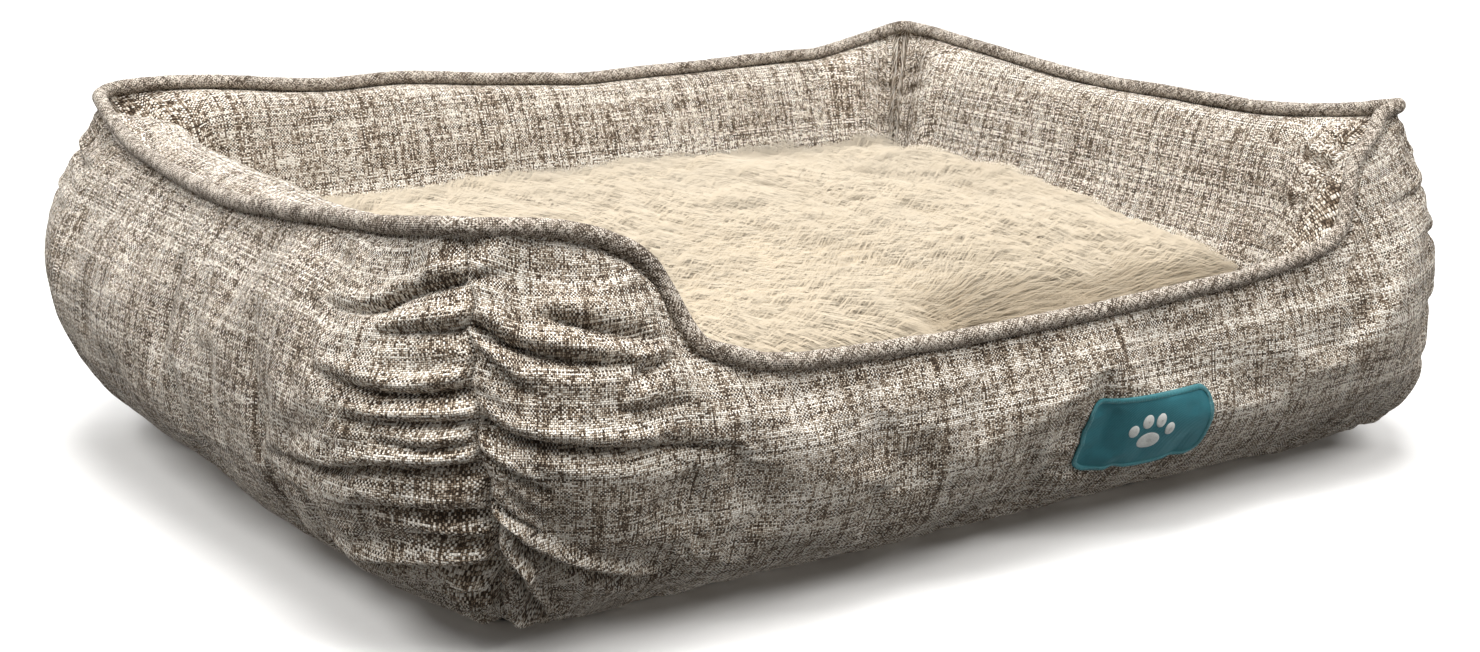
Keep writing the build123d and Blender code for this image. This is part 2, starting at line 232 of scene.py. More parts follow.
class Value:
    """A number from a shader socket that can be used in Python sums."""

    def __init__(self, shader: "Shader", socket: bpy.types.NodeSocket) -> None:
        """Keep the shader and the socket."""
        self.shader, self.socket = shader, socket

    def _math(self, operation: str, *others: Any) -> "Value":
        """Add a Math node whose inputs are these values."""
        values = dict(enumerate(others))
        return self.shader.node("ShaderNodeMath", {"operation": operation}, values)

    def __add__(self, other: Any) -> "Value":
        """Sum."""
        return self._math("ADD", self, other)

    __radd__ = __add__

    def __sub__(self, other: Any) -> "Value":
        """Difference."""
        return self._math("SUBTRACT", self, other)

    def __rsub__(self, other: Any) -> "Value":
        """Difference with the value second."""
        return self._math("SUBTRACT", other, self)

    def __mul__(self, other: Any) -> "Value":
        """Product."""
        return self._math("MULTIPLY", self, other)

    __rmul__ = __mul__

    def __truediv__(self, other: Any) -> "Value":
        """Quotient."""
        return self._math("DIVIDE", self, other)

    def floor(self) -> "Value":
        """Whole number below."""
        return self._math("FLOOR", self)

    def fraction(self) -> "Value":
        """What is left above the whole number."""
        return self._math("FRACT", self)

    def size(self) -> "Value":
        """Value without its sign."""
        return self._math("ABSOLUTE", self)

    def power(self, exponent: float) -> "Value":
        """Value raised to an exponent."""
        return self._math("POWER", self, exponent)

    def wave(self, pitch: float) -> "Value":
        """Number that runs from -1 to 1 over each pitch."""
        return (self / pitch).fraction() * 2.0 - 1.0

    def above(self, edge: float, width: float) -> "Value":
        """Soft step across an edge: (value - edge)/width + 1/2, held between 0 and 1."""
        share = (self - (edge - width / 2)) / width
        return share._math("MAXIMUM", share._math("MINIMUM", share, 1.0), 0.0)


class Shader:
    """A material's nodes."""

    def __init__(self, name: str) -> None:
        """Start an empty material of a name."""
        self.material = bpy.data.materials.new(name)
        self.material.use_nodes = True
        self.tree = self.material.node_tree
        self.tree.nodes.clear()

    def node(
        self, kind: str, settings: Optional[dict] = None, values: Optional[dict] = None, out: Any = 0
    ) -> Value:
        """Add one node.

        Args:
            kind: Blender's node type.
            settings: Properties set first; "stops" fills a colour ramp with (place, colour) pairs.
            values: Values or links of input sockets, by name or number.
            out: Output socket, by name or number.

        Returns:
            The chosen output as a value.
        """
        node = self.tree.nodes.new(kind)
        for key, setting in (settings or {}).items():
            if key == "stops":
                elements = node.color_ramp.elements
                while len(elements) < len(setting):
                    elements.new(0.5)
                for element, (place, colour) in zip(elements, setting):
                    element.position, element.color = place, (*colour, 1)
            else:
                setattr(node, key, setting)
        for key, value in (values or {}).items():
            socket = node.inputs[key]
            if isinstance(value, Value):
                self.tree.links.new(value.socket, socket)
            elif isinstance(value, tuple) and len(value) == 3 and socket.type == "RGBA":
                socket.default_value = (*value, 1)
            else:
                socket.default_value = value
        return Value(self, node.outputs[out])

    def cloth(self, bias: bool = False) -> tuple:
        """Cloth coordinates in metres.

        Args:
            bias: Turn them by 45 degrees, for cloth cut on the bias.

        Returns:
            Coordinates across and along the cloth.
        """
        place = self.node("ShaderNodeUVMap", {"uv_map": CLOTH_MAP})
        u = self.node("ShaderNodeSeparateXYZ", values={0: place}, out=0)
        v = self.node("ShaderNodeSeparateXYZ", values={0: place}, out=1)
        return ((u + v) * math.sqrt(0.5), (v - u) * math.sqrt(0.5)) if bias else (u, v)

    def solid(self) -> Value:
        """Object coordinates in metres."""
        return self.node("ShaderNodeTexCoord", out="Object")

    def join(self, x: Any, y: Any, z: Any = 0.0) -> Value:
        """Vector from three numbers."""
        return self.node("ShaderNodeCombineXYZ", values={0: x, 1: y, 2: z})

    def noise(self, place: Value, scale: float, detail: float = 2.0, rough: float = 0.5) -> Value:
        """Noise between 0 and 1 at a place."""
        return self.node(
            "ShaderNodeTexNoise",
            {"noise_dimensions": "3D"},
            {"Vector": place, "Scale": scale, "Detail": detail, "Roughness": rough},
        )

    def chance(self, number: Value) -> Value:
        """Random number from 0 to 1 for each whole number."""
        return self.node("ShaderNodeTexWhiteNoise", {"noise_dimensions": "1D"}, {"W": number})

    def checker(self, u: Value, v: Value, pitch: float) -> Value:
        """1 on every second square of a grid and 0 on the others."""
        return (((u / pitch).floor() + (v / pitch).floor()) * 0.5).fraction() * 2.0

    def ramp(self, number: Value, stops: Sequence) -> Value:
        """Colour for a number."""
        return self.node("ShaderNodeValToRGB", {"stops": stops}, {0: number})

    def mix(self, share: Any, first: Any, second: Any) -> Value:
        """Blend of two colours."""
        return self.node("ShaderNodeMix", {"data_type": "RGBA"}, {0: share, 6: first, 7: second}, 2)

    def bump(self, height: Value, depth: float, strength: float) -> Value:
        """Normal of a small relief."""
        return self.node("ShaderNodeBump", values={"Height": height, "Distance": depth, "Strength": strength})

    def finish(self, **values: Any) -> bpy.types.Material:
        """Close the material with a Principled shader.

        Args:
            **values: Its inputs, with underscores for spaces.

        Returns:
            The material.
        """
        named = {key.replace("_", " "): value for key, value in values.items()}
        surface = self.node("ShaderNodeBsdfPrincipled", values=named)
        end = self.tree.nodes.new("ShaderNodeOutputMaterial")
        self.tree.links.new(surface.socket, end.inputs["Surface"])
        return self.material


Colour = tuple


def scaled(colour: Colour, share: float, more: float = 0.0) -> Colour:
    """Colour times a share plus a little more, held at 1."""
    return tuple(min(part * share + more, 1.0) for part in colour)


@dataclass(frozen=True)
class Linen:
    """Heathered linen-look weave: thick uneven yarns of several tones, over and under."""

    name: str
    pitch: float = 0.00102
    deep: Colour = (0.042, 0.025, 0.013)
    dark: Colour = (0.165, 0.114, 0.071)
    middle: Colour = (0.45, 0.363, 0.274)
    light: Colour = (0.785, 0.70, 0.59)
    pale: Colour = (0.98, 0.93, 0.85)
    bias: bool = False
    relief: float = 0.0009
    slub_size: float = 210.0
    streak_wide: float = 260.0
    streak_long: float = 20.0
    patch_size: float = 26.0
    streak_share: float = 0.65
    check_share: float = 0.09
    stops: tuple = (0.22, 0.36, 0.48, 0.6, 0.75)
    # Share of painted shade in the gaps between yarns
    gap_shade_share: float = 0.34
    own_share: float = 0.24
    slub_share: float = 2.1

    def yarn(self, shader: Shader, across: Value, along: Value, offset: float) -> Value:
        """Tone of the yarns of one direction: one tone a yarn, slubs and longer streaks along it.

        Args:
            shader: Nodes of the material.
            across: Cloth coordinate across the yarns.
            along: Cloth coordinate along them.
            offset: Number that tells the two directions apart.

        Returns:
            The tone, from about 0 for the darkest to 1 for the palest.
        """
        count = (across / self.pitch).floor()
        own = shader.chance(count + offset)
        slub = shader.noise(shader.join(count * 3.71 + offset, along * self.slub_size), 1.0, 2.0, 0.7)
        drawn = shader.join(across * self.streak_wide, along * self.streak_long, offset)
        streak = shader.noise(drawn, 1.0, 2.0, 0.6)
        pale_yarn = own.above(0.86, 0.05) * slub.above(0.48, 0.1) * 0.3
        dark_yarn = (1.0 - own).above(0.84, 0.05) * slub.above(0.48, 0.1) * 0.3
        even = own * self.own_share + (slub - 0.5) * self.slub_share
        even = even + (streak - 0.5) * self.streak_share + 0.38
        return even + pale_yarn - dark_yarn * 0.6

    def build(self) -> bpy.types.Material:
        """Make the material.

        Returns:
            The material.
        """
        s = Shader(self.name)
        u, v = s.cloth(self.bias)
        parity = s.checker(u, v, self.pitch)
        warp, weft = self.yarn(s, u, v, 11.0), self.yarn(s, v, u, 57.0)
        patch = s.noise(s.join(u * self.patch_size, v * self.patch_size), 1.0, 3.0, 0.6)
        round_u, round_v = (1.0 - place.wave(self.pitch).power(2.0) for place in (u, v))
        crown = parity * round_u + (1.0 - parity) * round_v
        check = (parity * 2.0 - 1.0) * self.check_share
        tone = parity * warp + (1.0 - parity) * weft + check
        # Yarns darker towards their edges, where the crown falls: painted shade in the gaps between yarns
        tone = tone + (crown - 0.8) * self.gap_shade_share + (patch - 0.5) * 0.4
        tones = (self.deep, self.dark, self.middle, self.light, self.pale)
        colour = s.ramp(tone, list(zip(self.stops, tones)))
        height = crown + warp * 0.5 + weft * 0.5
        normal = s.bump(height, self.relief, 0.9)
        return s.finish(
            Base_Color=colour, Roughness=0.92, Normal=normal, Specular_IOR_Level=0.2, Sheen_Weight=0.06,
            Sheen_Roughness=0.6,
        )


@dataclass(frozen=True)
class Fleece:
    """Cream plush pile, warmer at the root and paler at the tip, and browner low on the cushion: partly tan
    roots showing, partly painted shade.
    """

    name: str
    root: Colour = (0.30, 0.21, 0.12)
    body: Colour = (0.40, 0.335, 0.248)
    tip: Colour = (0.475, 0.417, 0.328)
    # The low colour: pile low on the cushion turns browner, partly the tan of roots showing where it hangs
    # over the edge, partly painted shade on the cushion's lower side
    low: Colour = (0.29, 0.225, 0.145)
    shaded: Colour = (0.37, 0.295, 0.195)
    root_and_shade_height: float = 0.104

    def build(self) -> bpy.types.Material:
        """Make the material.

        Returns:
            The material.
        """
        s = Shader(self.name)
        own, along = s.cloth()
        colour = s.ramp(along, [(0.0, self.root), (0.3, self.body), (0.8, self.tip), (1.0, self.tip)])
        drift = s.noise(s.solid(), 14.0, 3.0, 0.6)
        shade = (drift * 0.55 + own * 0.45).above(0.54, 0.5)
        colour = s.mix(shade * 0.4, colour, self.shaded)
        height = s.node("ShaderNodeSeparateXYZ", values={0: s.solid()}, out=2)
        # Browner pile low on the cushion: partly roots showing, partly painted shade
        colour = s.mix((1.0 - height.above(self.root_and_shade_height, 0.034)) * 0.6, colour, self.low)
        return s.finish(
            Base_Color=colour, Roughness=0.72, Specular_IOR_Level=0.3, Sheen_Weight=0.35,
            Sheen_Roughness=0.45, Sheen_Tint=(1.0, 0.95, 0.86),
        )


@dataclass(frozen=True)
class PlainCloth:
    """Plain cloth of one colour with a fine weave, small tone changes and a soft nap."""

    name: str
    colour: Colour
    pitch: float = 0.0009
    relief: float = 0.0003
    change: float = 0.35
    twill: bool = False
    solid: bool = False
    roughness: float = 0.9

    def build(self) -> bpy.types.Material:
        """Make the material.

        Returns:
            The material.
        """
        s = Shader(self.name)
        if self.solid:
            place = s.solid()
            u, v = (s.node("ShaderNodeSeparateXYZ", values={0: place}, out=axis) for axis in (0, 2))
        else:
            u, v = s.cloth()
        if self.twill:
            ridge = (u + v * 0.8).wave(self.pitch).size()
        else:
            parity = s.checker(u, v, self.pitch)
            ridge = parity * 0.5 + s.noise(s.join(u / self.pitch, v / self.pitch), 1.0, 1.0) * 0.5
        drift = s.noise(s.join(u * 60.0, v * 60.0), 1.0, 4.0, 0.65)
        tone = ((ridge - 0.5) * 0.5 + (drift - 0.5) * 1.4) * self.change + 0.5
        dark, light = scaled(self.colour, 0.62), scaled(self.colour, 1.35, 0.01)
        colour = s.ramp(tone, [(0.2, dark), (0.5, self.colour), (0.8, light)])
        normal = s.bump(ridge, self.relief, 0.8)
        return s.finish(Base_Color=colour, Roughness=self.roughness, Normal=normal, Specular_IOR_Level=0.3)


@dataclass(frozen=True)
class Thread:
    """Shiny stitched thread: fine ridges along each stitch."""

    name: str
    colour: Colour
    pitch: float = 0.00035

    def build(self) -> bpy.types.Material:
        """Make the material.

        Returns:
            The material.
        """
        s = Shader(self.name)
        u, v = s.cloth()
        strand = v.wave(self.pitch).size()
        drift = s.noise(s.join(u * 900.0, v * 900.0), 1.0, 2.0)
        dark = scaled(self.colour, 0.6)
        # Darker where the strand value is low, in the groove of each stitch: painted shade
        colour = s.ramp(strand * 0.5 + drift * 0.5, [(0.2, dark), (0.6, self.colour), (0.9, self.colour)])
        return s.finish(Base_Color=colour, Roughness=0.42 + drift * 0.2, Normal=s.bump(strand, 0.0002, 0.7))


@dataclass(frozen=True)
class HardPart:
    """Zip metal or nylon: fine brushing or grain with worn spots."""

    name: str
    colour: Colour
    metallic: float
    roughness: float

    def build(self) -> bpy.types.Material:
        """Make the material.

        Returns:
            The material.
        """
        s = Shader(self.name)
        place = s.solid()
        stretched = {0: place, 1: (400.0, 400.0, 4000.0)}
        brushed = s.noise(s.node("ShaderNodeVectorMath", {"operation": "MULTIPLY"}, stretched), 1.0, 3.0)
        worn = s.noise(place, 300.0, 3.0)
        dark = scaled(self.colour, 0.7)
        colour = s.ramp(worn * 0.6 + brushed * 0.4, [(0.3, dark), (0.65, self.colour)])
        rough = brushed * 0.18 + (self.roughness - 0.09)
        return s.finish(
            Base_Color=colour, Metallic=self.metallic, Roughness=rough, Normal=s.bump(brushed, 0.00008, 0.5)
        )


class Finish(Enum):
    """Finishes of the bed's pieces."""

    LINEN = Linen("wall_linen")
    PIPING = Linen(
        "piping_linen", pitch=0.0008, deep=(0.040, 0.027, 0.017), dark=(0.12, 0.088, 0.060),
        middle=(0.28, 0.23, 0.18), light=(0.48, 0.42, 0.36), pale=(0.72, 0.66, 0.58),
        bias=True, relief=0.0004, streak_share=0.3,
    )
    FLEECE = Fleece("cream_pile")
    SKIN = PlainCloth("pile_backing", (0.43, 0.36, 0.265), pitch=0.0014)
    LINING = PlainCloth("well_lining", (0.36, 0.31, 0.26), pitch=0.0012)
    BASE = PlainCloth("base_nonwoven", (0.035, 0.033, 0.031), pitch=0.002, relief=0.0005, change=0.5)
    PATCH = PlainCloth("patch_twill", (0.017, 0.118, 0.146), twill=True, relief=0.0002, roughness=0.7)
    BORDER = Thread("border_thread", (0.032, 0.185, 0.215))
    MOTIF = Thread("motif_thread", (0.74, 0.76, 0.74))
    TAPE = PlainCloth("zip_tape_cloth", (0.33, 0.28, 0.23), pitch=0.0007, solid=True)
    NYLON = HardPart("zip_nylon", (0.30, 0.26, 0.21), 0.0, 0.45)
    METAL = HardPart("zip_metal", (0.56, 0.55, 0.52), 1.0, 0.34)


class Dresser:
    """Gives pieces their finish, body and replaced nodes."""

    def __init__(self, nodes: dict) -> None:
        """Keep the frame's CAD nodes by name, with no materials made yet."""
        self.nodes = nodes
        self.made: dict = {}

    def finish(self, finish: Finish) -> bpy.types.Material:
        """Material of a finish, made once."""
        if finish not in self.made:
            self.made[finish] = finish.value.build()
        return self.made[finish]

    def dress(
        self, piece: bpy.types.Object, finish: Finish, body: str, slot: str, nodes: Sequence[str] = ()
    ) -> bpy.types.Object:
        """Finish a piece and tie it to the frame.

        Args:
            piece: The object.
            finish: Its finish.
            body: Body of the frame it rides on.
            slot: Material slot of the record; not used.
            nodes: CAD nodes it stands for.

        Returns:
            The same object.
        """
        piece.data.materials.clear()
        piece.data.materials.append(self.finish(finish))
        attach(piece, body)
        if nodes:
            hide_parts(*nodes)
        log.info("%s: %d points on %s", piece.name, len(piece.data.vertices), body)
        return piece

    def node(self, name: str, finish: Finish) -> None:
        """Give a carried-over CAD node its finish."""
        shown = self.nodes[name]
        shown.data.materials.clear()
        shown.data.materials.append(self.finish(finish))
        log.info("%s keeps its CAD shape", name)


@dataclass(frozen=True)
class Inflation:
    """Short cloth simulation that lets filling push a piece out."""

    frames: int = 12
    pressure: float = 2.2
    cap: float = 0.006
    growth: float = 0.02
    stiffness: float = 12.0
    bending: float = 0.4
    quality: int = 5
    mass: float = 0.25

    def move(self, points: Array, quads: Array, pinned: Array) -> Array:
        """Run the simulation.

        Args:
            points: Start points, count by 3.
            quads: Faces by point number.
            pinned: True for each point that stays in its seam.

        Returns:
            How far each point moved, none further than the cap.
        """
        mesh = bpy.data.meshes.new("inflating")
        mesh.from_pydata(points.tolist(), [], quads.tolist())
        mesh.update()
        blown = bpy.data.objects.new("inflating", mesh)
        bpy.context.scene.collection.objects.link(blown)
        group = blown.vertex_groups.new(name="seams")
        group.add(np.flatnonzero(pinned).tolist(), 1.0, "REPLACE")
        cloth = blown.modifiers.new("Cloth", "CLOTH")
        how = cloth.settings
        how.quality = self.quality
        how.mass = self.mass
        how.tension_stiffness = self.stiffness
        how.compression_stiffness = self.stiffness
        how.shear_stiffness = self.stiffness / 2
        how.bending_stiffness = self.bending
        how.use_pressure = True
        how.uniform_pressure_force = self.pressure
        how.shrink_min = -self.growth
        how.effector_weights.gravity = 0
        if pinned.any():
            how.vertex_group_mass = "seams"
        cloth.collision_settings.use_collision = False
        cloth.point_cache.frame_start = 1
        cloth.point_cache.frame_end = self.frames
        for frame in range(1, self.frames + 1):
            bpy.context.scene.frame_set(frame)
        result = blown.evaluated_get(bpy.context.evaluated_depsgraph_get())
        moved = np.empty(len(points) * 3, np.float32)
        result.data.vertices.foreach_get("co", moved)
        moved = moved.reshape(-1, 3).astype(float) - points
        bpy.data.objects.remove(blown)
        bpy.data.meshes.remove(mesh)
        bpy.context.scene.frame_set(1)
        far = np.linalg.norm(moved, axis=1, keepdims=True)
        moved = np.where(np.isfinite(moved), moved, 0)
        return moved * np.minimum(1, self.cap / np.maximum(far, TINY))


@dataclass(frozen=True)
class Fold:
    """One crease in cloth: a line of (distance from seam, height on cloth) in millimetres."""

    line: tuple
    depth: float
    width: float

    def relief(self, across: Array, height: Array) -> Array:
        """Depth of the crease: a narrow bell-shaped valley between two low ridges.

        Args:
            across: Distance from the corner seam, in metres.
            height: Height on the cloth from its foot, in metres.

        Returns:
            Offset along the surface's outward normal, in metres.
        """
        places = np.array(self.line, float) / 1000
        steps = np.linspace(0, 1, 25)
        knots = np.linspace(0, 1, len(places))
        smooth = np.interp(steps, knots, places[:, 1])
        smooth = np.convolve(np.pad(smooth, 2, mode="edge"), np.ones(5) / 5, "valid")
        reach = np.interp(steps, knots, places[:, 0])
        middle = np.interp(across, reach, smooth)
        slope = np.interp(across, reach, np.gradient(smooth, reach + np.arange(25) * 1e-9))
        length = places[-1, 0] - places[0, 0]
        start = np.clip((across - places[0, 0]) / 0.004, 0, 1)
        if places[0, 0] > 0.01:
            start = eased((across - places[0, 0]) / (0.3 * length))
        fade = start * np.clip((places[-1, 0] - across) / (0.55 * length), 0, 1) ** 0.7
        width = self.width / 1000
        away = (height - middle) / np.sqrt(1 + slope**2)
        below, above = np.clip(-away, 0, None), np.clip(away, 0, None)
        valley = np.exp(-((below / (0.62 * width)) ** 1.1)) * np.exp(-((above / (0.3 * width)) ** 1.2))
        ridges = 0.6 * hill(away - 1.4 * width, width) + 0.35 * hill(away + 2.2 * width, 1.3 * width)
        low = 1 + 0.8 * eased((0.125 - middle) / 0.06)
        return self.depth / 1000 * low * fade * (ridges - 1.6 * valley)


def random_folds(seed: int, rows: Sequence[float], reach: tuple, depth: tuple, slope: float = 0.1) -> tuple:
    """Gathers of a corner seam, at uneven heights and lengths.

    Args:
        seed: Number that fixes the folds.
        rows: Heights on the cloth, in millimetres.
        reach: Shortest and longest fold.
        depth: Shallowest and deepest fold.
        slope: Largest slope.

    Returns:
        The folds.
    """
    dice = np.random.default_rng(seed)
    folds = []
    for row in rows:
        height = row + dice.uniform(-3, 3)
        length = dice.uniform(*reach)
        tilt, sag = dice.uniform(-slope, slope), dice.uniform(-6, 6)
        shares = np.linspace(0, 1, 5)
        line = tuple((length * t, height + tilt * length * t + sag * t * t) for t in shares)
        folds.append(Fold(line, dice.uniform(*depth), dice.uniform(3.2, 4.6)))
    return tuple(folds)


FRONT_LEFT_FOLDS = (
    Fold(((0, 226), (10, 230), (26, 235)), 2.2, 3.0),
    Fold(((0, 206), (8, 205), (22, 200), (42, 198), (66, 195), (90, 192), (104, 190)), 6.2, 4.8),
    Fold(((34, 217), (56, 215), (78, 210), (98, 205), (116, 200)), 4.6, 5.5),
    Fold(((86, 187), (100, 188), (120, 192)), 4.0, 4.2),
    Fold(((0, 196), (6, 192), (14, 187), (26, 183), (40, 179)), 3.6, 4.0),
    Fold(((0, 163), (10, 160), (24, 157), (42, 155), (62, 153), (90, 150), (116, 147), (150, 143)), 6.0, 4.6),
    Fold(((74, 172), (92, 169), (124, 168)), 2.2, 4.5),
    Fold(((0, 146), (8, 142), (26, 136), (46, 131)), 4.2, 3.8),
    Fold(((0, 124), (10, 119), (26, 111), (38, 106)), 3.2, 3.4),
    Fold(((0, 112), (8, 107), (20, 101), (40, 92), (64, 82), (92, 69), (122, 58)), 7.0, 4.8),
    Fold(((0, 97), (10, 88), (22, 70), (40, 42), (66, 22)), 6.5, 5.2),
    Fold(((0, 56), (12, 44), (30, 30), (52, 16)), 4.5, 4.5),
)
FRONT_RIGHT_SWELL = ((70, 15, 38),)
BACK_LEFT_SWELL = ((178, 7, 34),)
LEFT_FRONT_FOLDS = (
    Fold(((0, 226), (14, 225), (26, 226), (40, 224), (52, 218), (74, 215), (104, 214)), 4.6, 5.0),
    Fold(((0, 204), (10, 204), (32, 206), (52, 205)), 4.4, 4.4),
    Fold(((0, 176), (22, 175), (36, 175), (60, 178), (92, 181)), 5.2, 4.4),
    Fold(((0, 161), (11, 162), (35, 162), (66, 160)), 3.8, 4.0),
    Fold(((0, 151), (22, 150), (44, 152)), 3.8, 3.6),
    Fold(((0, 141), (16, 140), (36, 139), (70, 133), (112, 127), (150, 122)), 6.2, 4.8),
    Fold(((0, 115), (10, 118), (37, 117), (66, 115)), 4.0, 4.0),
    Fold(((0, 102), (16, 105), (36, 106)), 3.0, 3.4),
    Fold(((0, 89), (10, 87), (26, 85), (50, 80), (82, 76), (120, 74)), 6.6, 5.0),
    Fold(((0, 67), (12, 71), (30, 73)), 5.6, 4.2),
    Fold(((0, 50), (18, 55), (46, 58)), 4.4, 4.6),
    Fold(((8, 24), (24, 30), (50, 34)), 3.6, 4.6),
)


@dataclass(frozen=True)
class Corner:
    """Seam between two walls: where it strays sideways, in millimetres by height on the cloth."""

    heights: tuple = (0, 40, 80, 120, 160, 200, 242)
    stray: tuple = (0, 1, -1.5, 1, -1, 1.5, 0)
    ear: float = 0.002
    ear_reach: float = 0.05
    fold_reach: float = 0.032
    swell: tuple = ()
    swell_reach: float = 0.13

    def lift(self, distance: Array) -> Array:
        """Rise of the rim at distances from the seam."""
        return self.ear * eased(1 - distance / self.ear_reach)

    def fullness(self, distance: Array, height: Array) -> Array:
        """Extra filling near the seam: bells of (height, depth, width) in millimetres that fade out.

        Args:
            distance: Distance from the seam.
            height: Height on the cloth.

        Returns:
            Offset along the outward normal, in metres.
        """
        made = np.zeros_like(height)
        for middle, depth, width in self.swell:
            made = made + depth / 1000 * hill(height - middle / 1000, width / 1000)
        return made * (1 - eased(distance / self.swell_reach))

    def shift(self, height: Array) -> Array:
        """Sideways stray of the seam at heights on the cloth, in metres."""
        return np.interp(height * 1000, self.heights, self.stray) / 1000


@dataclass
class WallForm:
    """One wall of the ring, described as the front wall turned about Z."""

    name: str
    turn: float
    half: float
    offset: float
    lean: float
    stations: int = 360
    rows: int = 150
    left_folds: tuple = ()
    right_folds: tuple = ()
    left_corner: Corner = Corner()
    right_corner: Corner = Corner()
    seed: int = 1
    rim_reach: float = 0.09
    corner_rim: float = 0.206
    rim_round: float = 0.012
    bulge_reach: float = 0.145
    bulge_round: float = 0.127
    bulge_height: float = 0.112
    foot_reach: float = 0.060
    foot_round: float = 0.042
    inner_reach: float = 0.040
    base: float = 0.001
    room: float = 0.0035
    seam_draw: float = 0.007
    dip_depth: float = 0.079
    dip_bulge_drop: float = 0.009
    rim_line: tuple = ()
    softening: float = 0.012
    roll: float = 0.0
    roll_line: tuple = ()
    roll_fade: float = 0.07

    def drop_and_lean(self, along: Array) -> tuple:
        """Measured drop of the rim, and its lean outwards times 1-(along/half)^2.

        Args:
            along: Places along the rim.

        Returns:
            Drop and lean at the places.
        """
        middle = 1 - (along / self.half) ** 2
        places, drops = np.array(self.rim_line, float).T / 1000
        reach = np.minimum(self.softening, self.half - np.abs(along))
        near = [np.interp(along + shift * reach, places, drops) for shift in np.linspace(-1, 1, 9)]
        return np.mean(near, axis=0), self.lean * middle

    def roll_at(self, along: Array) -> Array:
        """How far filling pushes the inner panel up and inwards next to the rim; nothing at the corners.

        Args:
            along: Places along the rim.

        Returns:
            Push at the places.
        """
        share = eased((self.half - np.abs(along)) / self.roll_fade)
        if self.roll_line:
            places, shares = np.array(self.roll_line, float).T
            share = share * np.interp(along * 1000, places, shares)
        return self.roll * share

    def rounded(self, inset: Array, angle: Array, radius: float) -> Array:
        """Distance from the fan's pivot to a line that turns the corner with a radius.

        Args:
            inset: Distance from the pivot to the straight line.
            angle: Angle of each section, up to 45 degrees at the seam.
            radius: Radius of the corner.

        Returns:
            inset/cos(angle) beside the corner's curve, and the distance to its circle along it.
        """
        run = (inset - radius) * math.sqrt(2)
        away = QUARTER - angle
        curved = run * np.cos(away) + np.sqrt(np.maximum(radius**2 - (run * np.sin(away)) ** 2, 0))
        return np.where(np.tan(angle) * inset <= inset - radius, inset / np.cos(angle), curved)

    def section(self, along: Array) -> dict:
        """Key sizes of the upright sections at places along the rim.

        Args:
            along: Places, from -half to half.

        Returns:
            Origin and outward direction of each section, and its sizes.
        """
        pivot = self.half - self.rim_reach
        angle = np.arctan2(np.clip(np.abs(along) - pivot, 0, None), self.rim_reach)
        turned = math.radians(self.turn)
        heading = turned + np.sign(along) * angle
        held = np.clip(along, -pivot, pivot)
        back = self.rim_reach - self.offset
        cos, sin = math.cos(turned), math.sin(turned)
        origin = np.stack([held * cos - back * sin, held * sin + back * cos], -1)
        drop, lean = self.drop_and_lean(along)
        drop = drop - self.left_corner.lift(self.half + along) - self.right_corner.lift(self.half - along)
        share = angle / QUARTER
        return {
            "origin": origin,
            "out": np.stack([np.sin(heading), -np.cos(heading)], -1),
            "share": share,
            "drop": drop,
            "rim": self.rounded(self.rim_reach + lean, angle, self.rim_round),
            "rim_height": self.corner_rim - drop,
            "bulge": self.rounded(np.full_like(along, self.bulge_reach), angle, self.bulge_round)
            - self.seam_draw * share**4,
            "bulge_height": self.bulge_height - self.dip_bulge_drop * drop / self.dip_depth,
            "foot": self.rounded(np.full_like(along, self.foot_reach), angle, self.foot_round),
            "inner": self.inner_reach / np.cos(angle),
        }

    def places(self, count: int) -> tuple:
        """Places along the rim, closer together near the corners and shoulders.

        Args:
            count: How many.

        Returns:
            The places, and the length of cloth up to each along the bulge.
        """
        fine = np.linspace(-self.half, self.half, 6000)
        cut = self.section(fine)
        line = cut["origin"] + cut["out"] * cut["bulge"][:, None]
        length = run_along(line)
        near = np.minimum(length, length[-1] - length)
        weight = 1 + 2.2 * hill(near, 0.06) + 0.8 * hill(np.abs(fine) - 0.234, 0.035) * (self.name == "front")
        load = np.r_[0, np.cumsum((weight[1:] + weight[:-1]) / 2 * np.diff(length))]
        at = np.interp(np.linspace(0, load[-1], count), load, np.arange(len(fine)))
        return np.interp(at, np.arange(len(fine)), fine), np.interp(at, np.arange(len(fine)), length)

    def arc(self, cut: dict, share: Array) -> tuple:
        """Outer face: an arc from the foot to the bulge, then one from the bulge to the rim.

        Args:
            cut: Sections from section().
            share: Shares of the girth, from the foot to the rim.

        Returns:
            Distance out, height, angle of the outward normal and length of cloth from the foot.
        """
        width, rise = cut["bulge"] - cut["foot"], cut["bulge_height"] - self.base
        low = (width**2 + rise**2) / (2 * width)
        low_run = low * np.arcsin(rise / low)
        width, rise = cut["bulge"] - cut["rim"], cut["rim_height"] - cut["bulge_height"]
        high = (width**2 + rise**2) / (2 * width)
        high_run = high * np.arcsin(np.clip(rise / high, -1, 1))
        run = share[None] * (low_run + high_run)[:, None]
        radius = np.where(run < low_run[:, None], low[:, None], high[:, None])
        angle = (run - low_run[:, None]) / radius
        distance = cut["bulge"][:, None] - radius + radius * np.cos(angle)
        return distance, cut["bulge_height"][:, None] + radius * np.sin(angle), angle, run

    def inner_arc(self, cut: dict, share: Array) -> tuple:
        """Inner face: one arc, upright at the well's floor and leaning back to the rim.

        Args:
            cut: Sections from section().
            share: Shares of the girth, from the floor to the rim.

        Returns:
            Distance out, height, angle of the arc and length of cloth from the floor.
        """
        width, rise = cut["rim"] - cut["inner"], cut["rim_height"] - self.base
        radius = (width**2 + rise**2) / (2 * width)
        span = np.arcsin(np.clip(rise / radius, -1, 1))
        angle = share[None] * span[:, None]
        distance = (cut["inner"] + radius)[:, None] - radius[:, None] * np.cos(angle)
        return distance, self.base + radius[:, None] * np.sin(angle), angle, radius[:, None] * angle

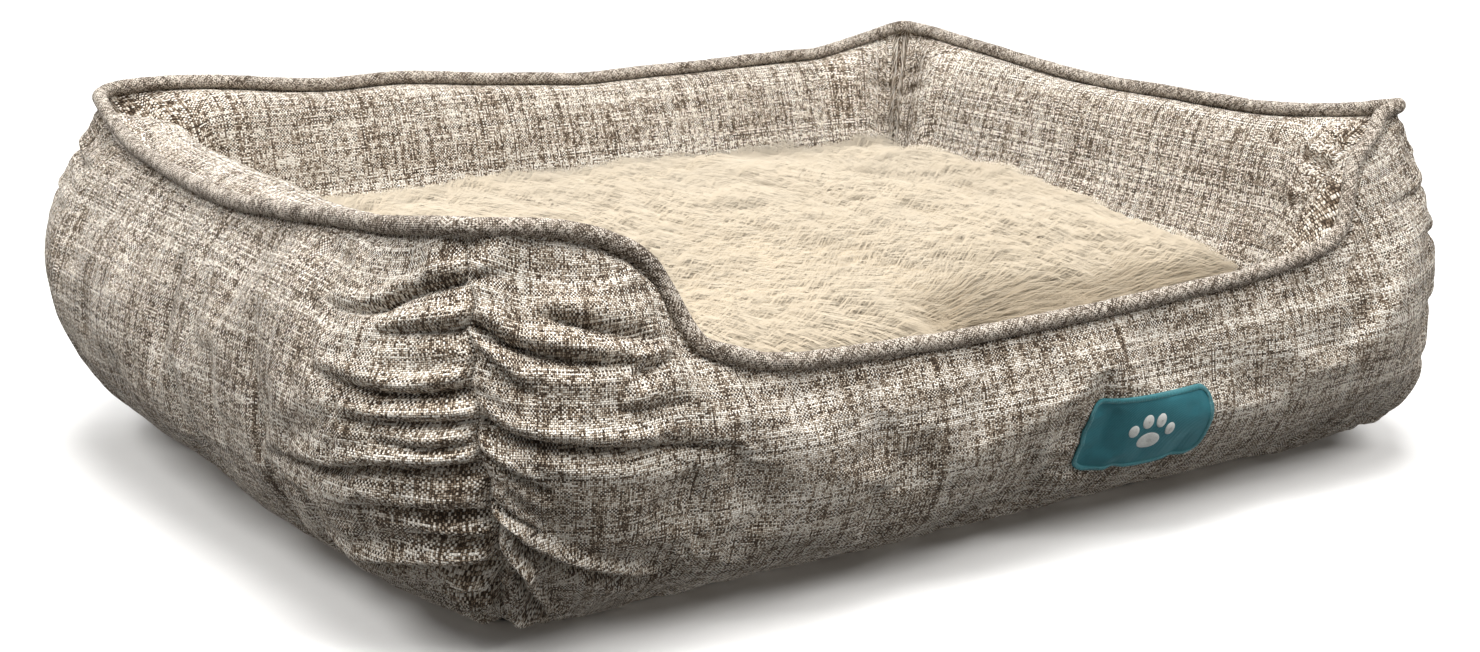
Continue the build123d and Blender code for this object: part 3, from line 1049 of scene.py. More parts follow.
    def stand(self, cut: dict, distance: Array, height: Array) -> Array:
        """Points in space from distances out and heights."""
        plan = cut["origin"][:, None] + cut["out"][:, None] * distance[..., None]
        return np.concatenate([plan, height[..., None]], -1)

    def facing(self, cut: dict, level: Array, rise: Array) -> Array:
        """Unit vectors in the sections' planes from a level part and a rise."""
        plan = cut["out"][:, None] * level[..., None]
        return np.concatenate([plan, np.broadcast_to(rise, level.shape)[..., None]], -1)


# Rim of the front wall as measured: distance from the middle, drop and lean, in millimetres
LEFT_DIP = (
    (0, 79, 35), (92, 79, 35), (154, 77, 35), (178, 73, 35), (192, 68, 35), (203, 64, 34), (213, 60, 32),
    (218, 53, 29), (221, 43, 23), (224, 33, 19), (228, 24, 16), (234, 17, 15), (241, 11.5, 14),
    (248, 8, 13), (255, 5, 13), (262, 2.5, 12), (272, 0, 11), (285, -2, 8), (300, -3.5, 5), (320, -3.5, 0),
)
RIGHT_DIP = (
    (0, 79, 35), (43, 78, 35), (117, 75, 35), (153, 74, 34), (170, 72, 34), (190, 70, 34), (208, 68, 33),
    (225, 64, 32), (233, 60, 30), (239, 54, 28), (244, 46, 25), (247, 38, 22), (250, 30, 19), (254, 22, 16),
    (265, 14, 13), (276, 8, 10), (286, 2, 5), (293, 0, 2), (308, -2, 0), (320, -2, 0),
)
# Rims of the other walls as measured: distance from the middle, to the right seen from outside, and drop
RIGHT_RIM = (
    (-249, -2), (-233, -0.2), (-217, 2), (-185, 7.2), (-153, 11.6), (-121, 14.2), (-89, 14.9), (-41, 14.6),
    (7, 15.3), (55, 14.7), (87, 12.2), (119, 8.8), (151, 5.5), (183, 2.5), (215, -0.8), (235, 0), (249, 0),
)
BACK_RIM = (
    (-320, 0), (-304, 2.5), (-288, 4.8), (-272, 7.6), (-256, 11), (-240, 13.9), (-208, 14.3), (-160, 15),
    (-128, 15.9), (-96, 15.7), (-64, 16.3), (-32, 17.3), (0, 14.1), (48, 10.5), (80, 7), (112, 4.2),
    (160, 5.3), (192, 3), (224, -1.5), (256, -4.8), (288, -6), (304, -4), (320, -1),
)
LEFT_RIM = (
    (-249, -1), (-233, 0.5), (-217, 5), (-201, 9.5), (-185, 13), (-169, 16), (-153, 18), (-121, 19.5),
    (-73, 21.4), (-41, 22.3), (-9, 21.9), (23, 20.4), (55, 18), (87, 14.7), (119, 11), (151, 8), (183, 5),
    (212, 1), (236, -3.5), (249, -3.5),
)


@dataclass
class FrontForm(WallForm):
    """Front wall, whose rim steps down into the dip between two shoulders."""

    softening: float = 0.005

    def drop_and_lean(self, along: Array) -> tuple:
        """Drop and lean of the measured line, averaged over a short run to round its corners.

        Args:
            along: Places along the rim.

        Returns:
            Drop and lean at the places.
        """
        found = []
        for column in (1, 2):
            total = np.zeros_like(along)
            for shift in np.linspace(-1, 1, 9):
                place = np.abs(along + shift * self.softening) * 1000
                sides = [
                    np.interp(place, [row[0] for row in line], [row[column] for row in line])
                    for line in (LEFT_DIP, RIGHT_DIP)
                ]
                total = total + np.where(along > 0, sides[1], sides[0])
            found.append(total / 9000)
        return found[0], found[1]


PIPING_RADIUS = 0.0045
PIPING_SEAT = 0.0046  # from the rim line to the middle of the piping
PIPING_SIDES = 20
INNER_STATIONS = 260
FLOOR_GAP = 0.0006  # lowest place that cloth may take
HELD_CREASE = 0.0014  # creases deeper than this are held while the filling swells
ROLL_START, ROLL_END = 0.015, 0.06  # lengths of cloth over which the roll rises and dies away


@dataclass(frozen=True)
class Relief:
    """Depths and sizes of what filling and seams do to a panel, in metres of cloth."""

    lump: float
    lump_size: float
    small_lump: float
    small_lump_size: float
    pucker: float
    rim_seam: float
    welt: float
    welt_at: float
    welt_width: float
    edge: float = 0.03
    rim_fade: float = 0.012
    seam_reach: float = 0.005
    pucker_size: float = 0.006
    rim_seam_at: float = 0.003
    drag: float = 0.0006
    drag_size: float = 0.008
    drag_reach: float = 0.12
    drawn: float = 0.0018
    drawn_low: float = 0.0026
    hem: float = 0.0011
    hem_size: float = 0.011
    hem_at: float = 0.035
    hem_width: float = 0.022
    swell: float = 0.006
    corner_drawn: float = 0.007


OUTER_RELIEF = Relief(0.0022, 0.055, 0.0009, 0.022, 0.0006, 0.0012, 0.0022, 0.02, 0.012)
INNER_RELIEF = Relief(0.003, 0.05, 0.0011, 0.02, 0.0005, 0.0011, 0.006, 0.024, 0.014)
INNER_GATHERS = ((40, (96, 124, 150, 172, 190)), (60, (92, 118, 146, 168, 188)))  # seed and rows by side


class Wall:
    """Builds a wall's outer panel, inner panel and piping."""

    def __init__(self, form: WallForm, dresser: Dresser) -> None:
        """Keep the form, which holds the wall's sizes, and the dresser."""
        self.form, self.dresser = form, dresser
        self.noise = Noise(form.seed)
        self.outer_points: Optional[Array] = None
        self.outer_facing: Optional[Array] = None

    def stray(self, across: Array, height: Array, total: float) -> Array:
        """Sideways shift of cloth that follows the strays of both corner seams.

        Args:
            across: Length of cloth from the left seam.
            height: Length of cloth from the foot.
            total: Length of cloth from seam to seam.

        Returns:
            Shift along the wall.
        """
        left = self.form.left_corner.shift(height) * hill(across, self.form.left_corner.fold_reach)
        right = self.form.right_corner.shift(height) * hill(total - across, self.form.right_corner.fold_reach)
        return left + right

    def relief(self, across: Array, height: Array, girth: Array, total: float) -> tuple:
        """Offset of the outer panel: lumps of filling + drag + gathers - drawn seams + puckers.

        Args:
            across: Length of cloth from the left seam.
            height: Length of cloth from the foot.
            girth: Whole length of cloth from the foot to the rim.
            total: Length of cloth from seam to seam.

        Returns:
            Offsets along the outward normal, and the depth of the deepest crease at each point.
        """
        noise, near, feel = self.noise, np.minimum(across, total - across), OUTER_RELIEF
        below = girth - height
        edge = eased(near / feel.edge) * eased(height / feel.edge) * eased(below / 0.02)
        lumps = feel.lump * noise.at(across, height, feel.lump_size, 1.6)
        lumps = lumps + feel.small_lump * noise.at(across + 3, height, feel.small_lump_size, 2.2)
        drag = feel.drag * noise.at(across + 7, height, feel.drag_size, 7.0)
        drag = drag * (0.3 + 0.7 * hill(near, feel.drag_reach))
        folds = [fold.relief(across, height) for fold in self.form.left_folds]
        folds += [fold.relief(total - across, height) for fold in self.form.right_folds]
        full = self.form.left_corner.fullness(across, height)
        full = full + self.form.right_corner.fullness(total - across, height)
        made = ((lumps + drag - self.form.room) * edge + sum(folds) + full) * eased(below / feel.rim_fade)
        drawn = feel.drawn + feel.drawn_low * eased((0.15 - height) / 0.1)
        made = made - drawn * np.exp(-near / feel.seam_reach) * eased(below / feel.edge)
        made = made + feel.welt * hill(near - feel.welt_at, feel.welt_width)
        pucker = noise.at(across, height * 0 + 5.0, feel.pucker_size)
        pucker = pucker * hill(below - feel.pucker_size, feel.pucker_size)
        hem = noise.at(across, height * 0 + 9.0, feel.hem_size) * hill(height - feel.hem_at, feel.hem_width)
        made = made + feel.pucker * pucker + feel.hem * hem
        made = made - feel.rim_seam * hill(below - feel.rim_seam_at, feel.rim_seam_at)
        return made, np.min(folds, axis=0)

    def panel(self, count: int, rows: int, detail: float) -> tuple:
        """Outer panel as a grid: section arcs, relief along their normals, then the seams' strays.

        Args:
            count: Stations along the wall.
            rows: Rows up the wall.
            detail: Share of the relief that is used.

        Returns:
            Points, cloth coordinates, outward normals and depth of the creases.
        """
        form = self.form
        along, length = form.places(count)
        cut = form.section(along)
        distance, height, angle, run = form.arc(cut, np.linspace(0, 1, rows))
        girth = run[:, -1:]
        across = np.broadcast_to(length[:, None], run.shape)
        points = form.stand(cut, distance, height)
        facing = form.facing(cut, np.cos(angle), np.sin(angle))
        made, creased = self.relief(across, run, girth, length[-1])
        points = points + facing * made[..., None] * detail
        tangent = np.stack([-cut["out"][:, 1], cut["out"][:, 0]], -1)
        side = self.stray(across, run, length[-1])
        points[..., :2] += tangent[:, None] * side[..., None]
        points[..., 2] = np.maximum(points[..., 2], FLOOR_GAP)
        return points, np.stack([across, run], -1), facing, creased

    def tuck(self, points: Array, cloth: Array, stations: int) -> tuple:
        """Add a last row that runs up into the middle of the piping.

        Args:
            points: Points of a panel, whose last row is the rim.
            cloth: Its cloth coordinates.
            stations: Stations along the panel.

        Returns:
            Points and cloth coordinates with the row added.
        """
        along, _ = self.form.places(stations)
        cut = self.form.section(along)
        path, _, _ = self.route(cut)
        points = np.concatenate([points, (path * 0.8 + points[:, -1] * 0.2)[:, None]], 1)
        return points, np.concatenate([cloth, cloth[:, -1:] + [[[0, 0.003]]]], 1)

    def route(self, cut: dict) -> tuple:
        """Middle line of the piping, seated on the rim.

        Args:
            cut: Sections from section().

        Returns:
            Points of the line, and unit vectors to its outward and upward sides.
        """
        rim = self.form.stand(cut, cut["rim"][:, None], cut["rim_height"][:, None])[:, 0]
        tangent = unit(np.gradient(rim, axis=0))
        out = np.concatenate([cut["out"], np.zeros((len(rim), 1))], 1)
        for end in (0, -1):
            square = np.cross(out[end], [0, 0, 1])
            tangent[end] = square * np.sign(square @ tangent[end])
        lift = unit(np.cross(tangent, out))
        lift *= np.sign(lift[:, 2:])
        return rim + lift * PIPING_SEAT, np.cross(lift, tangent), lift

    def blow(self, count: int, rows: int) -> Array:
        """Movement of the outer panel under its filling's pressure, with its edges and creases held.

        Args:
            count: Stations of the coarse grid.
            rows: Rows of the coarse grid.

        Returns:
            How far each of its points moves.
        """
        points, _, _, creased = self.panel(count, rows, 0.9)
        i, j = np.meshgrid(np.arange(count - 1), np.arange(rows - 1), indexing="ij")
        i, j = i.ravel(), j.ravel()
        quads = np.stack([i * rows + j, (i + 1) * rows + j, (i + 1) * rows + j + 1, i * rows + j + 1], 1)
        pinned = np.zeros((count, rows), bool)
        pinned[[0, -1], :] = pinned[:, [0, -1]] = True
        pinned |= creased < -HELD_CREASE
        moved = Inflation().move(points.reshape(-1, 3), quads, pinned.ravel())
        return moved.reshape(count, rows, 3)

    @staticmethod
    def refine(coarse: Array, count: int, rows: int) -> Array:
        """Spread a coarse grid's values over a finer one, straight between neighbours.

        Args:
            coarse: Values of the coarse grid.
            count: Stations of the finer grid.
            rows: Rows of the finer grid.

        Returns:
            Values of the finer grid.
        """
        x = np.linspace(0, coarse.shape[0] - 1, count)
        y = np.linspace(0, coarse.shape[1] - 1, rows)
        i, j = np.minimum(x.astype(int), coarse.shape[0] - 2), np.minimum(y.astype(int), coarse.shape[1] - 2)
        tx, ty = (x - i)[:, None, None], (y - j)[None, :, None]
        low = coarse[i][:, j] * (1 - tx) + coarse[i + 1][:, j] * tx
        high = coarse[i][:, j + 1] * (1 - tx) + coarse[i + 1][:, j + 1] * tx
        return low * (1 - ty) + high * ty

    def outer(self) -> bpy.types.Object:
        """Make the outer panel with its filling.

        Returns:
            The piece.
        """
        form = self.form
        points, cloth, facing, _ = self.panel(form.stations, form.rows, 1.0)
        moved = self.blow(form.stations // 3, form.rows // 3)
        points = points + self.refine(moved, form.stations, form.rows)
        points[..., 2] = np.maximum(points[..., 2], FLOOR_GAP)
        self.outer_points, self.outer_facing = points, facing
        points, cloth = self.tuck(points, cloth, form.stations)
        made = Surface()
        made.grid(points, cloth + form.seed * 0.37)
        piece = made.make(f"{form.name}_wall_outside")
        nodes = (f"{form.name}_outer_panel", f"{form.name}_filling")
        self.dresser.dress(piece, Finish.LINEN, "bed", "linen_weave", nodes)
        return piece

    def inner_relief(self, across: Array, run: Array, roll: Array) -> Array:
        """Offset of the inner panel: lumps + gathers - drawn seams + puckers + the roll next to the rim.

        Args:
            across: Length of cloth from the left seam.
            run: Length of cloth from the floor.
            roll: How far the filling rolls over next to the rim, at each station.

        Returns:
            Offsets along the normal.
        """
        noise, feel, total = self.noise, INNER_RELIEF, across[-1, 0]
        girth = run[:, -1:]
        near, below = np.minimum(across, total - across), girth - run
        edge = eased(near / feel.edge) * eased(below / feel.edge) * eased(run / feel.edge)
        swell = feel.swell * np.sin(np.pi * np.clip(run / girth, 0, 1)) * eased(near / 0.05)
        lumps = feel.lump * noise.at(across + 21, run, feel.lump_size, 1.7)
        lumps = lumps + feel.small_lump * noise.at(across + 31, run, feel.small_lump_size, 2.0)
        made = swell + lumps * edge
        for (seed, rows), away in zip(INNER_GATHERS, (across, total - across)):
            for fold in random_folds(self.form.seed + seed, rows, (14, 46), (1.4, 3.8), 0.3):
                made = made + fold.relief(away, run)
        made = made * eased(below / feel.rim_fade)
        made = made - feel.rim_seam * hill(below - feel.rim_seam_at, feel.rim_seam_at)
        seam = feel.welt * hill(near - feel.welt_at, feel.welt_width)
        seam = seam - feel.corner_drawn * np.exp(-near / feel.seam_reach)
        made = made + seam * eased(below / feel.edge)
        pucker = noise.at(across + 51, run * 0, feel.pucker_size)
        pucker = pucker * hill(below - feel.pucker_size, feel.pucker_size)
        start = np.sqrt(np.clip(1 - (1 - np.clip(below / ROLL_START, 0, 1)) ** 2, 0, 1))
        return made + feel.pucker * pucker + roll * start * (1 - eased((below - ROLL_START) / ROLL_END))

    def inner(self) -> bpy.types.Object:
        """Make the inner panel: one leaning arc with soft lumps, and creases at both corners.

        Returns:
            The piece.
        """
        form = self.form
        along, _ = form.places(INNER_STATIONS)
        cut = form.section(along)
        share = np.linspace(0, 1, 84)
        if form.roll_line:
            share = np.sin(np.linspace(0, math.pi / 2, 112))
        distance, height, angle, run = form.inner_arc(cut, share)
        plan = form.stand(cut, distance, height)[:, len(share) // 2, :2]
        across = run_along(plan)[:, None] + run * 0
        made = self.inner_relief(across, run, form.roll_at(along)[:, None])
        facing = form.facing(cut, -np.cos(angle), np.sin(angle))
        points = form.stand(cut, distance, height) + facing * made[..., None]
        step = np.linalg.norm(np.diff(points, axis=1), axis=-1)
        laid = np.concatenate([np.zeros((len(along), 1)), np.cumsum(step, axis=1)], 1)
        points, cloth = self.tuck(points, np.stack([across, laid], -1) + form.seed * 0.53, INNER_STATIONS)
        panel = Surface()
        panel.grid(points, cloth, flip=True)
        piece = panel.make(f"{form.name}_wall_inside")
        self.dresser.dress(piece, Finish.LINEN, "bed", "linen_weave", (f"{form.name}_inner_panel",))
        return piece

    def piping(self) -> bpy.types.Object:
        """Make the piping: a bias-cut tube that lies on the rim line from mitre to mitre.

        Returns:
            The piece.
        """
        form = self.form
        along, _ = form.places(420)
        cut = form.section(along)
        path, side, lift = self.route(cut)
        noise = self.noise
        inner = eased((form.half - np.abs(along)) / 0.03)
        path[:, 2] += 0.0006 * noise.at(along, along * 0 + 2, 0.03) * inner
        turn = np.linspace(0, 2 * math.pi, PIPING_SIDES, endpoint=False)[None]
        run = run_along(path)[:, None]
        radii = PIPING_RADIUS + 0.00018 * noise.at(run, turn * 0.004, 0.007)
        radii = radii + 0.00012 * noise.at(run, turn * 0.002 + 1, 0.003)
        made = Surface()
        made.tube(path, side, lift, radii, PIPING_SIDES, form.seed * 0.71)
        piece = made.make(f"{form.name}_rim_piping")
        nodes = (f"{form.name}_piping_cover", f"{form.name}_piping_cord")
        return self.dresser.dress(piece, Finish.PIPING, "bed", "piping_cloth", nodes)

    def build(self) -> None:
        """Make the wall's pieces."""
        self.outer()
        self.inner()
        self.piping()


@dataclass
class Floor:
    """Base sheet under the bed and padded lining of its well."""

    dresser: Dresser
    sheet_length: float = 0.58
    sheet_depth: float = 0.438
    sheet_round: float = 0.042
    well_length: float = 0.5394
    well_depth: float = 0.3974
    top: float = 0.026
    sheet_thick: float = 0.001
    sheet_wave: float = 0.0003
    well_round: float = 0.006
    well_low: float = 0.0012
    quilt_cells: tuple = (0.09, 0.0794)
    quilt_depth: float = 0.0038
    well_wave: float = 0.0006
    seed: int = 77

    def plate(
        self, length: float, depth: float, radius: float, low: float, top: Array, name: str
    ) -> bpy.types.Object:
        """Make a flat closed plate: a square grid drawn in to rounded corners, over its flat underside.

        Args:
            length: Size along X.
            depth: Size along Y.
            radius: Corner radius.
            low: Height of its underside.
            top: Heights of its upper face.
            name: Name of the piece.

        Returns:
            The piece.
        """
        rows, columns = top.shape
        p, q = np.meshgrid(np.linspace(-1, 1, rows), np.linspace(-1, 1, columns), indexing="ij")
        plan = round_off(p, q, length / 2, depth / 2, radius)
        upper = np.concatenate([plan, top[..., None]], -1)
        lower = np.concatenate([plan, np.full(top.shape, low)[..., None]], -1)
        return closed_plate(name, plan, upper, lower, 0.001, 1e-5)

    def build(self) -> None:
        """Make the base sheet and the well's lining."""
        noise = Noise(self.seed)
        x, y = plan_grid(self.sheet_length, self.sheet_depth, 90, 70)
        edge = eased(np.minimum.reduce([x, y, self.sheet_length - x, self.sheet_depth - y]) / 0.02)
        top = self.sheet_thick - self.sheet_wave * edge * (noise.at(x, y, 0.02) + 1)
        base = self.plate(self.sheet_length, self.sheet_depth, self.sheet_round, 0.0, top, "base_cloth")
        self.dresser.dress(base, Finish.BASE, "bed", "base_cloth", ("bottom_sheet",))
        x, y = plan_grid(self.well_length, self.well_depth, 110, 84)
        edge = eased(np.minimum.reduce([x, y, self.well_length - x, self.well_depth - y]) / 0.035)
        wide, deep = self.quilt_cells
        quilt = np.abs(np.sin(np.pi * x / wide) * np.sin(np.pi * y / deep)) ** 0.5
        top = self.top - 0.004 + edge * (self.quilt_depth * quilt + self.well_wave * noise.at(x, y, 0.03))
        well = self.plate(
            self.well_length, self.well_depth, self.well_round, self.well_low, top, "well_lining_pad"
        )
        self.dresser.dress(well, Finish.LINING, "bed", "lining_cloth", ("floor_lining", "floor_wadding"))


def plan_grid(length: float, depth: float, rows: int, columns: int) -> list:
    """Grid over a rectangle from its corner: its places along X and along Y."""
    return np.meshgrid(np.linspace(0, length, rows), np.linspace(0, depth, columns), indexing="ij")


def round_off(p: Array, q: Array, length: float, depth: float, radius: float) -> Array:
    """Square grid coordinates drawn in to a rectangle with round corners.

    Each point moves towards the middle by the ratio of the rounded outline to the square one, in its
    direction, with a weight that grows as the eighth power of its distance from the middle.

    Args:
        p: First coordinate, from -1 to 1.
        q: Second coordinate, from -1 to 1.
        length: Half length.
        depth: Half depth.
        radius: Corner radius.

    Returns:
        Points in plan.
    """
    x, y = p * length, q * depth
    reach = np.maximum(np.maximum(np.abs(p), np.abs(q)), 1e-9)
    sx, sy = np.abs(x) / reach, np.abs(y) / reach
    cx, cy = length - radius, depth - radius
    a = sx**2 + sy**2
    b = sx * cx + sy * cy
    c = cx**2 + cy**2 - radius**2
    touch = (b + np.sqrt(np.maximum(b * b - a * c, 0))) / a
    ratio = np.where((sx * touch > cx) & (sy * touch > cy), np.minimum(touch, 1), 1)
    weight = reach**8
    scale = 1 + (ratio - 1) * weight
    return np.stack([x * scale, y * scale], -1)


def merge(piece: bpy.types.Object, distance: float) -> None:
    """Weld points of a mesh that lie closer than a distance.

    Args:
        piece: The object.
        distance: The distance.
    """
    shape = bmesh.new()
    shape.from_mesh(piece.data)
    bmesh.ops.remove_doubles(shape, verts=shape.verts, dist=distance)
    shape.to_mesh(piece.data)
    shape.free()


def closed_plate(
    name: str, plan: Array, upper: Array, lower: Array, step: float, weld: float
) -> bpy.types.Object:
    """Make a closed plate from grids of its two faces, joined by strips along their four sides.

    Args:
        name: Name of the piece.
        plan: Cloth coordinates of both faces.
        upper: Points of the upper face.
        lower: Points of the lower face.
        step: Length of cloth across the strips.
        weld: Points closer than this become one.

    Returns:
        The piece.
    """
    made = Surface()
    made.grid(upper, plan.copy())
    made.grid(lower, plan.copy(), flip=True)
    for side in (np.s_[:, 0], np.s_[-1, :], np.s_[::-1, -1], np.s_[0, ::-1]):
        made.grid(np.stack([lower[side], upper[side]], 1), np.stack([plan[side], plan[side] + step], 1))
    piece = made.make(name)
    merge(piece, weld)
    return piece


WELL_ARC = 0.445  # radius of the inner walls' lean
WELL_INSET = 0.054  # from a wall's rim line to where a strand must stay at the well's floor


@dataclass
class Cushion:
    """Loose cushion: a stuffed body with an upper skin that carries the pile.

    Places on it are p and q: shares of the way from the middle to its sides along X and Y, from -1 to 1.
    """

    dresser: Dresser
    half_length: float = 0.2715
    half_depth: float = 0.2005
    corner: float = 0.042
    side_draw: float = 0.005
    zip_draw: float = 0.0069
    seam: float = 0.080
    crown: float = 0.140
    under: float = 0.0262
    tuck: float = 0.026
    front_sink: float = 0.032
    columns: int = 110
    rows: int = 84
    strands: int = 234000
    edge_every: int = 5
    nap: float = math.radians(-12)
    big_tuft: float = 0.026
    small_tuft: float = 0.009
    nap_swing: float = 0.7
    nap_ripple: float = 0.3
    lie: float = 0.50
    rear_stand: float = 1.3
    hang_pull: float = 2.4
    short_share: float = 0.42
    droop: float = 0.5
    tuft_pull: tuple = (0.10, 0.26)
    zip_flat: tuple = (0.168, 0.016)
    bent_share: float = 0.25
    batches: int = 7
    length: float = 0.030
    width: float = 0.00030
    seed: int = 5
    # Dents of the top: middle, stretch along X, depth and reach
    dents: tuple = (
        (0.175, 0.135, 1.2, 0.012, 0.034), (-0.035, 0.125, 4.0, 0.008, 0.017),
        (-0.05, -0.02, 1.5, 0.005, 0.07), (0.07, 0.03, 0.6, 0.005, 0.05), (0.20, -0.01, 2.0, 0.004, 0.03),
    )

    def plan(self, p: Array, q: Array) -> Array:
        """Outline of the cushion with sides drawn in between its corners, flat behind the zip.

        Args:
            p: Share along X.
            q: Share along Y.

        Returns:
            Points in plan.
        """
        flat = round_off(p, q, self.half_length, self.half_depth, self.corner)
        draw_x = self.side_draw * (1 - q**2) * np.abs(p) ** 6
        draw_y = self.side_draw * (1 - p**2)
        reach, fade = self.zip_flat
        zipped = eased((reach - np.abs(flat[..., 0])) / fade) * (q > 0)
        draw_y = (draw_y + (self.zip_draw - draw_y) * zipped) * np.abs(q) ** 6
        flat[..., 0] -= np.sign(p) * draw_x
        flat[..., 1] -= np.sign(q) * draw_y
        return flat

    def edge_share(self, p: Array, q: Array) -> Array:
        """Share from the seam, 0, to the middle, 1."""
        return 1 - np.maximum(np.abs(p), np.abs(q))

    def top(self, p: Array, q: Array) -> Array:
        """Upper skin: height seam + rise*(1-(1-t)^6)^(1/6), sunk in front, with soft dents.

        Args:
            p: Share along X.
            q: Share along Y.

        Returns:
            Points in space.
        """
        share = self.edge_share(p, q)
        plan = self.plan(p, q)
        x, y = plan[..., 0], plan[..., 1]
        rise = self.crown - self.seam - self.front_sink * eased((0.02 - y) / 0.24)
        rise = rise - 0.005 * eased((x - 0.05) / 0.2)
        rise = rise - 0.034 * eased((-0.148 - y) / 0.034) * eased((x + 0.03) / 0.09)
        noise = Noise(self.seed)
        rise = rise + 0.004 * noise.at(x + 1, y + 1, 0.07, 1.3) * eased(share / 0.2)
        for middle_x, middle_y, wide, sunk, far in self.dents:
            rise = rise - sunk * hill(np.hypot((x - middle_x) / wide, y - middle_y), far)
        bow = (1 - (1 - share) ** 6) ** (1 / 6)
        height = self.seam + rise * bow
        return np.concatenate([plan, height[..., None]], -1)

    def bottom(self, p: Array, q: Array) -> Array:
        """Underside: height seam - fall*(1-(1-t)^2.5)^0.4 over the tuck, then flat on the well's floor.

        Args:
            p: Share along X.
            q: Share along Y.

        Returns:
            Points in space.
        """
        share = np.clip(self.edge_share(p, q) * self.half_depth / self.tuck, 0, 1)
        fall = (1 - (1 - share) ** 2.5) ** 0.4
        height = self.seam - (self.seam - self.under) * fall
        return np.concatenate([self.plan(p, q), height[..., None]], -1)

    def uneven(self, count: int) -> Array:
        """Grid places from -1 to 1, closer together at the ends."""
        t = np.linspace(-1, 1, count)
        return 0.55 * t + 0.45 * np.sin(t * math.pi / 2)

    def body(self) -> bpy.types.Object:
        """Make the stuffed body, welded along its seam, swollen by a short simulation.

        Returns:
            The piece.
        """
        p, q = np.meshgrid(self.uneven(self.columns), self.uneven(self.rows), indexing="ij")
        upper, lower = self.top(p, q), self.bottom(p, q)
        made = Surface()
        made.grid(upper, upper[..., :2].copy())
        made.grid(lower, lower[..., :2].copy(), flip=True)
        piece = made.make("cushion_body")
        merge(piece, 1e-6)
        mesh = piece.data
        points = np.empty(len(mesh.vertices) * 3, np.float32)
        mesh.vertices.foreach_get("co", points)
        points = points.reshape(-1, 3).astype(float)
        quads = np.array([tuple(face.vertices) for face in mesh.polygons])
        pinned = np.abs(points[:, 2] - self.under) < 1e-4
        pinned |= np.max(np.abs(points[:, :2]) / (self.half_length, self.half_depth), axis=1) > 0.94
        moved = Inflation(frames=12, pressure=1.6, cap=0.005, growth=0.01).move(points, quads, pinned)
        mesh.vertices.foreach_set("co", (points + moved).astype(np.float32).ravel())
        mesh.update()
        nodes = ("cushion_fur_top", "cushion_underside", "cushion_filling")
        self.dresser.dress(piece, Finish.SKIN, "cushion", "fur", nodes)
        mesh.materials.append(self.dresser.finish(Finish.LINING))
        heights = np.array([face.center.z for face in mesh.polygons])
        mesh.polygons.foreach_set("material_index", (heights < self.seam).astype(np.int32))
        return piece

    def clumps(self, x: Array, y: Array, size: float, seed: int) -> tuple:
        """Nearest clump of each point: the closest of the jittered middles of nine cells.

        Args:
            x: Places along X.
            y: Places along Y.
            size: Side of a cell.
            seed: Number that fixes the jitter.

        Returns:
            Middle of the clump along X and Y, and a random number of the clump.
        """
        dice = np.random.default_rng(seed)
        jitter = dice.uniform(0, 1, (128, 128, 3))
        best = np.full(x.shape, 1e9)
        found = [np.zeros_like(x) for _ in range(3)]
        for dx in (-1, 0, 1):
            for dy in (-1, 0, 1):
                i = np.floor(x / size).astype(int) + dx
                j = np.floor(y / size).astype(int) + dy
                cell = jitter[i % 128, j % 128]
                mx, my = (i + cell[..., 0]) * size, (j + cell[..., 1]) * size
                away = (mx - x) ** 2 + (my - y) ** 2
                closer = away < best
                best = np.where(closer, away, best)
                for slot, value in enumerate((mx, my, cell[..., 2])):
                    found[slot] = np.where(closer, value, found[slot])
        return tuple(found)

    def roots(self, dice: np.random.Generator) -> tuple:
        """Places of the strands on the skin: spread over the top, along its edges, and down its sides.

        Args:
            dice: Random numbers.

        Returns:
            Places p and q, which strands hang down a side, and which of them are short, above the zip.
        """
        count = self.strands
        edge_count = count // self.edge_every
        p, q = dice.uniform(-0.985, 0.985, (2, count))
        border = dice.uniform(-1, 1, (2, edge_count))
        pick = dice.integers(0, 2, edge_count)
        sign = np.where(dice.uniform(size=edge_count) < 0.5, -1, 1)
        inset = dice.uniform(0, 1, edge_count) ** 1.6 * 0.09 + 0.002
        hanging = np.arange(edge_count) % 3 == 0
        behind = (pick == 1) & (sign > 0)
        level = np.where(behind, 0.36, 0.05) + dice.uniform(0, 1, edge_count) * np.where(behind, 0.25, 0.5)
        side = sign * (1 - np.where(hanging, 1 - (1 - level**6) ** (1 / 6), inset))
        p[:edge_count] = np.where(pick == 0, side, border[0])
        q[:edge_count] = np.where(pick == 0, border[1], side)
        others = np.zeros(count - edge_count, bool)
        return p, q, np.r_[hanging, others], np.r_[hanging & behind, others]

    def normals(self, p: Array, q: Array) -> Array:
        """Outward unit normals of the upper skin, from the points a small step to each side.

        Args:
            p: Share along X.
            q: Share along Y.

        Returns:
            The normals.
        """
        step = 1e-3
        du = self.top(np.clip(p + step, -1, 1), q) - self.top(np.clip(p - step, -1, 1), q)
        dv = self.top(p, np.clip(q + step, -1, 1)) - self.top(p, np.clip(q - step, -1, 1))
        return unit(np.cross(du, dv), 1e-12)

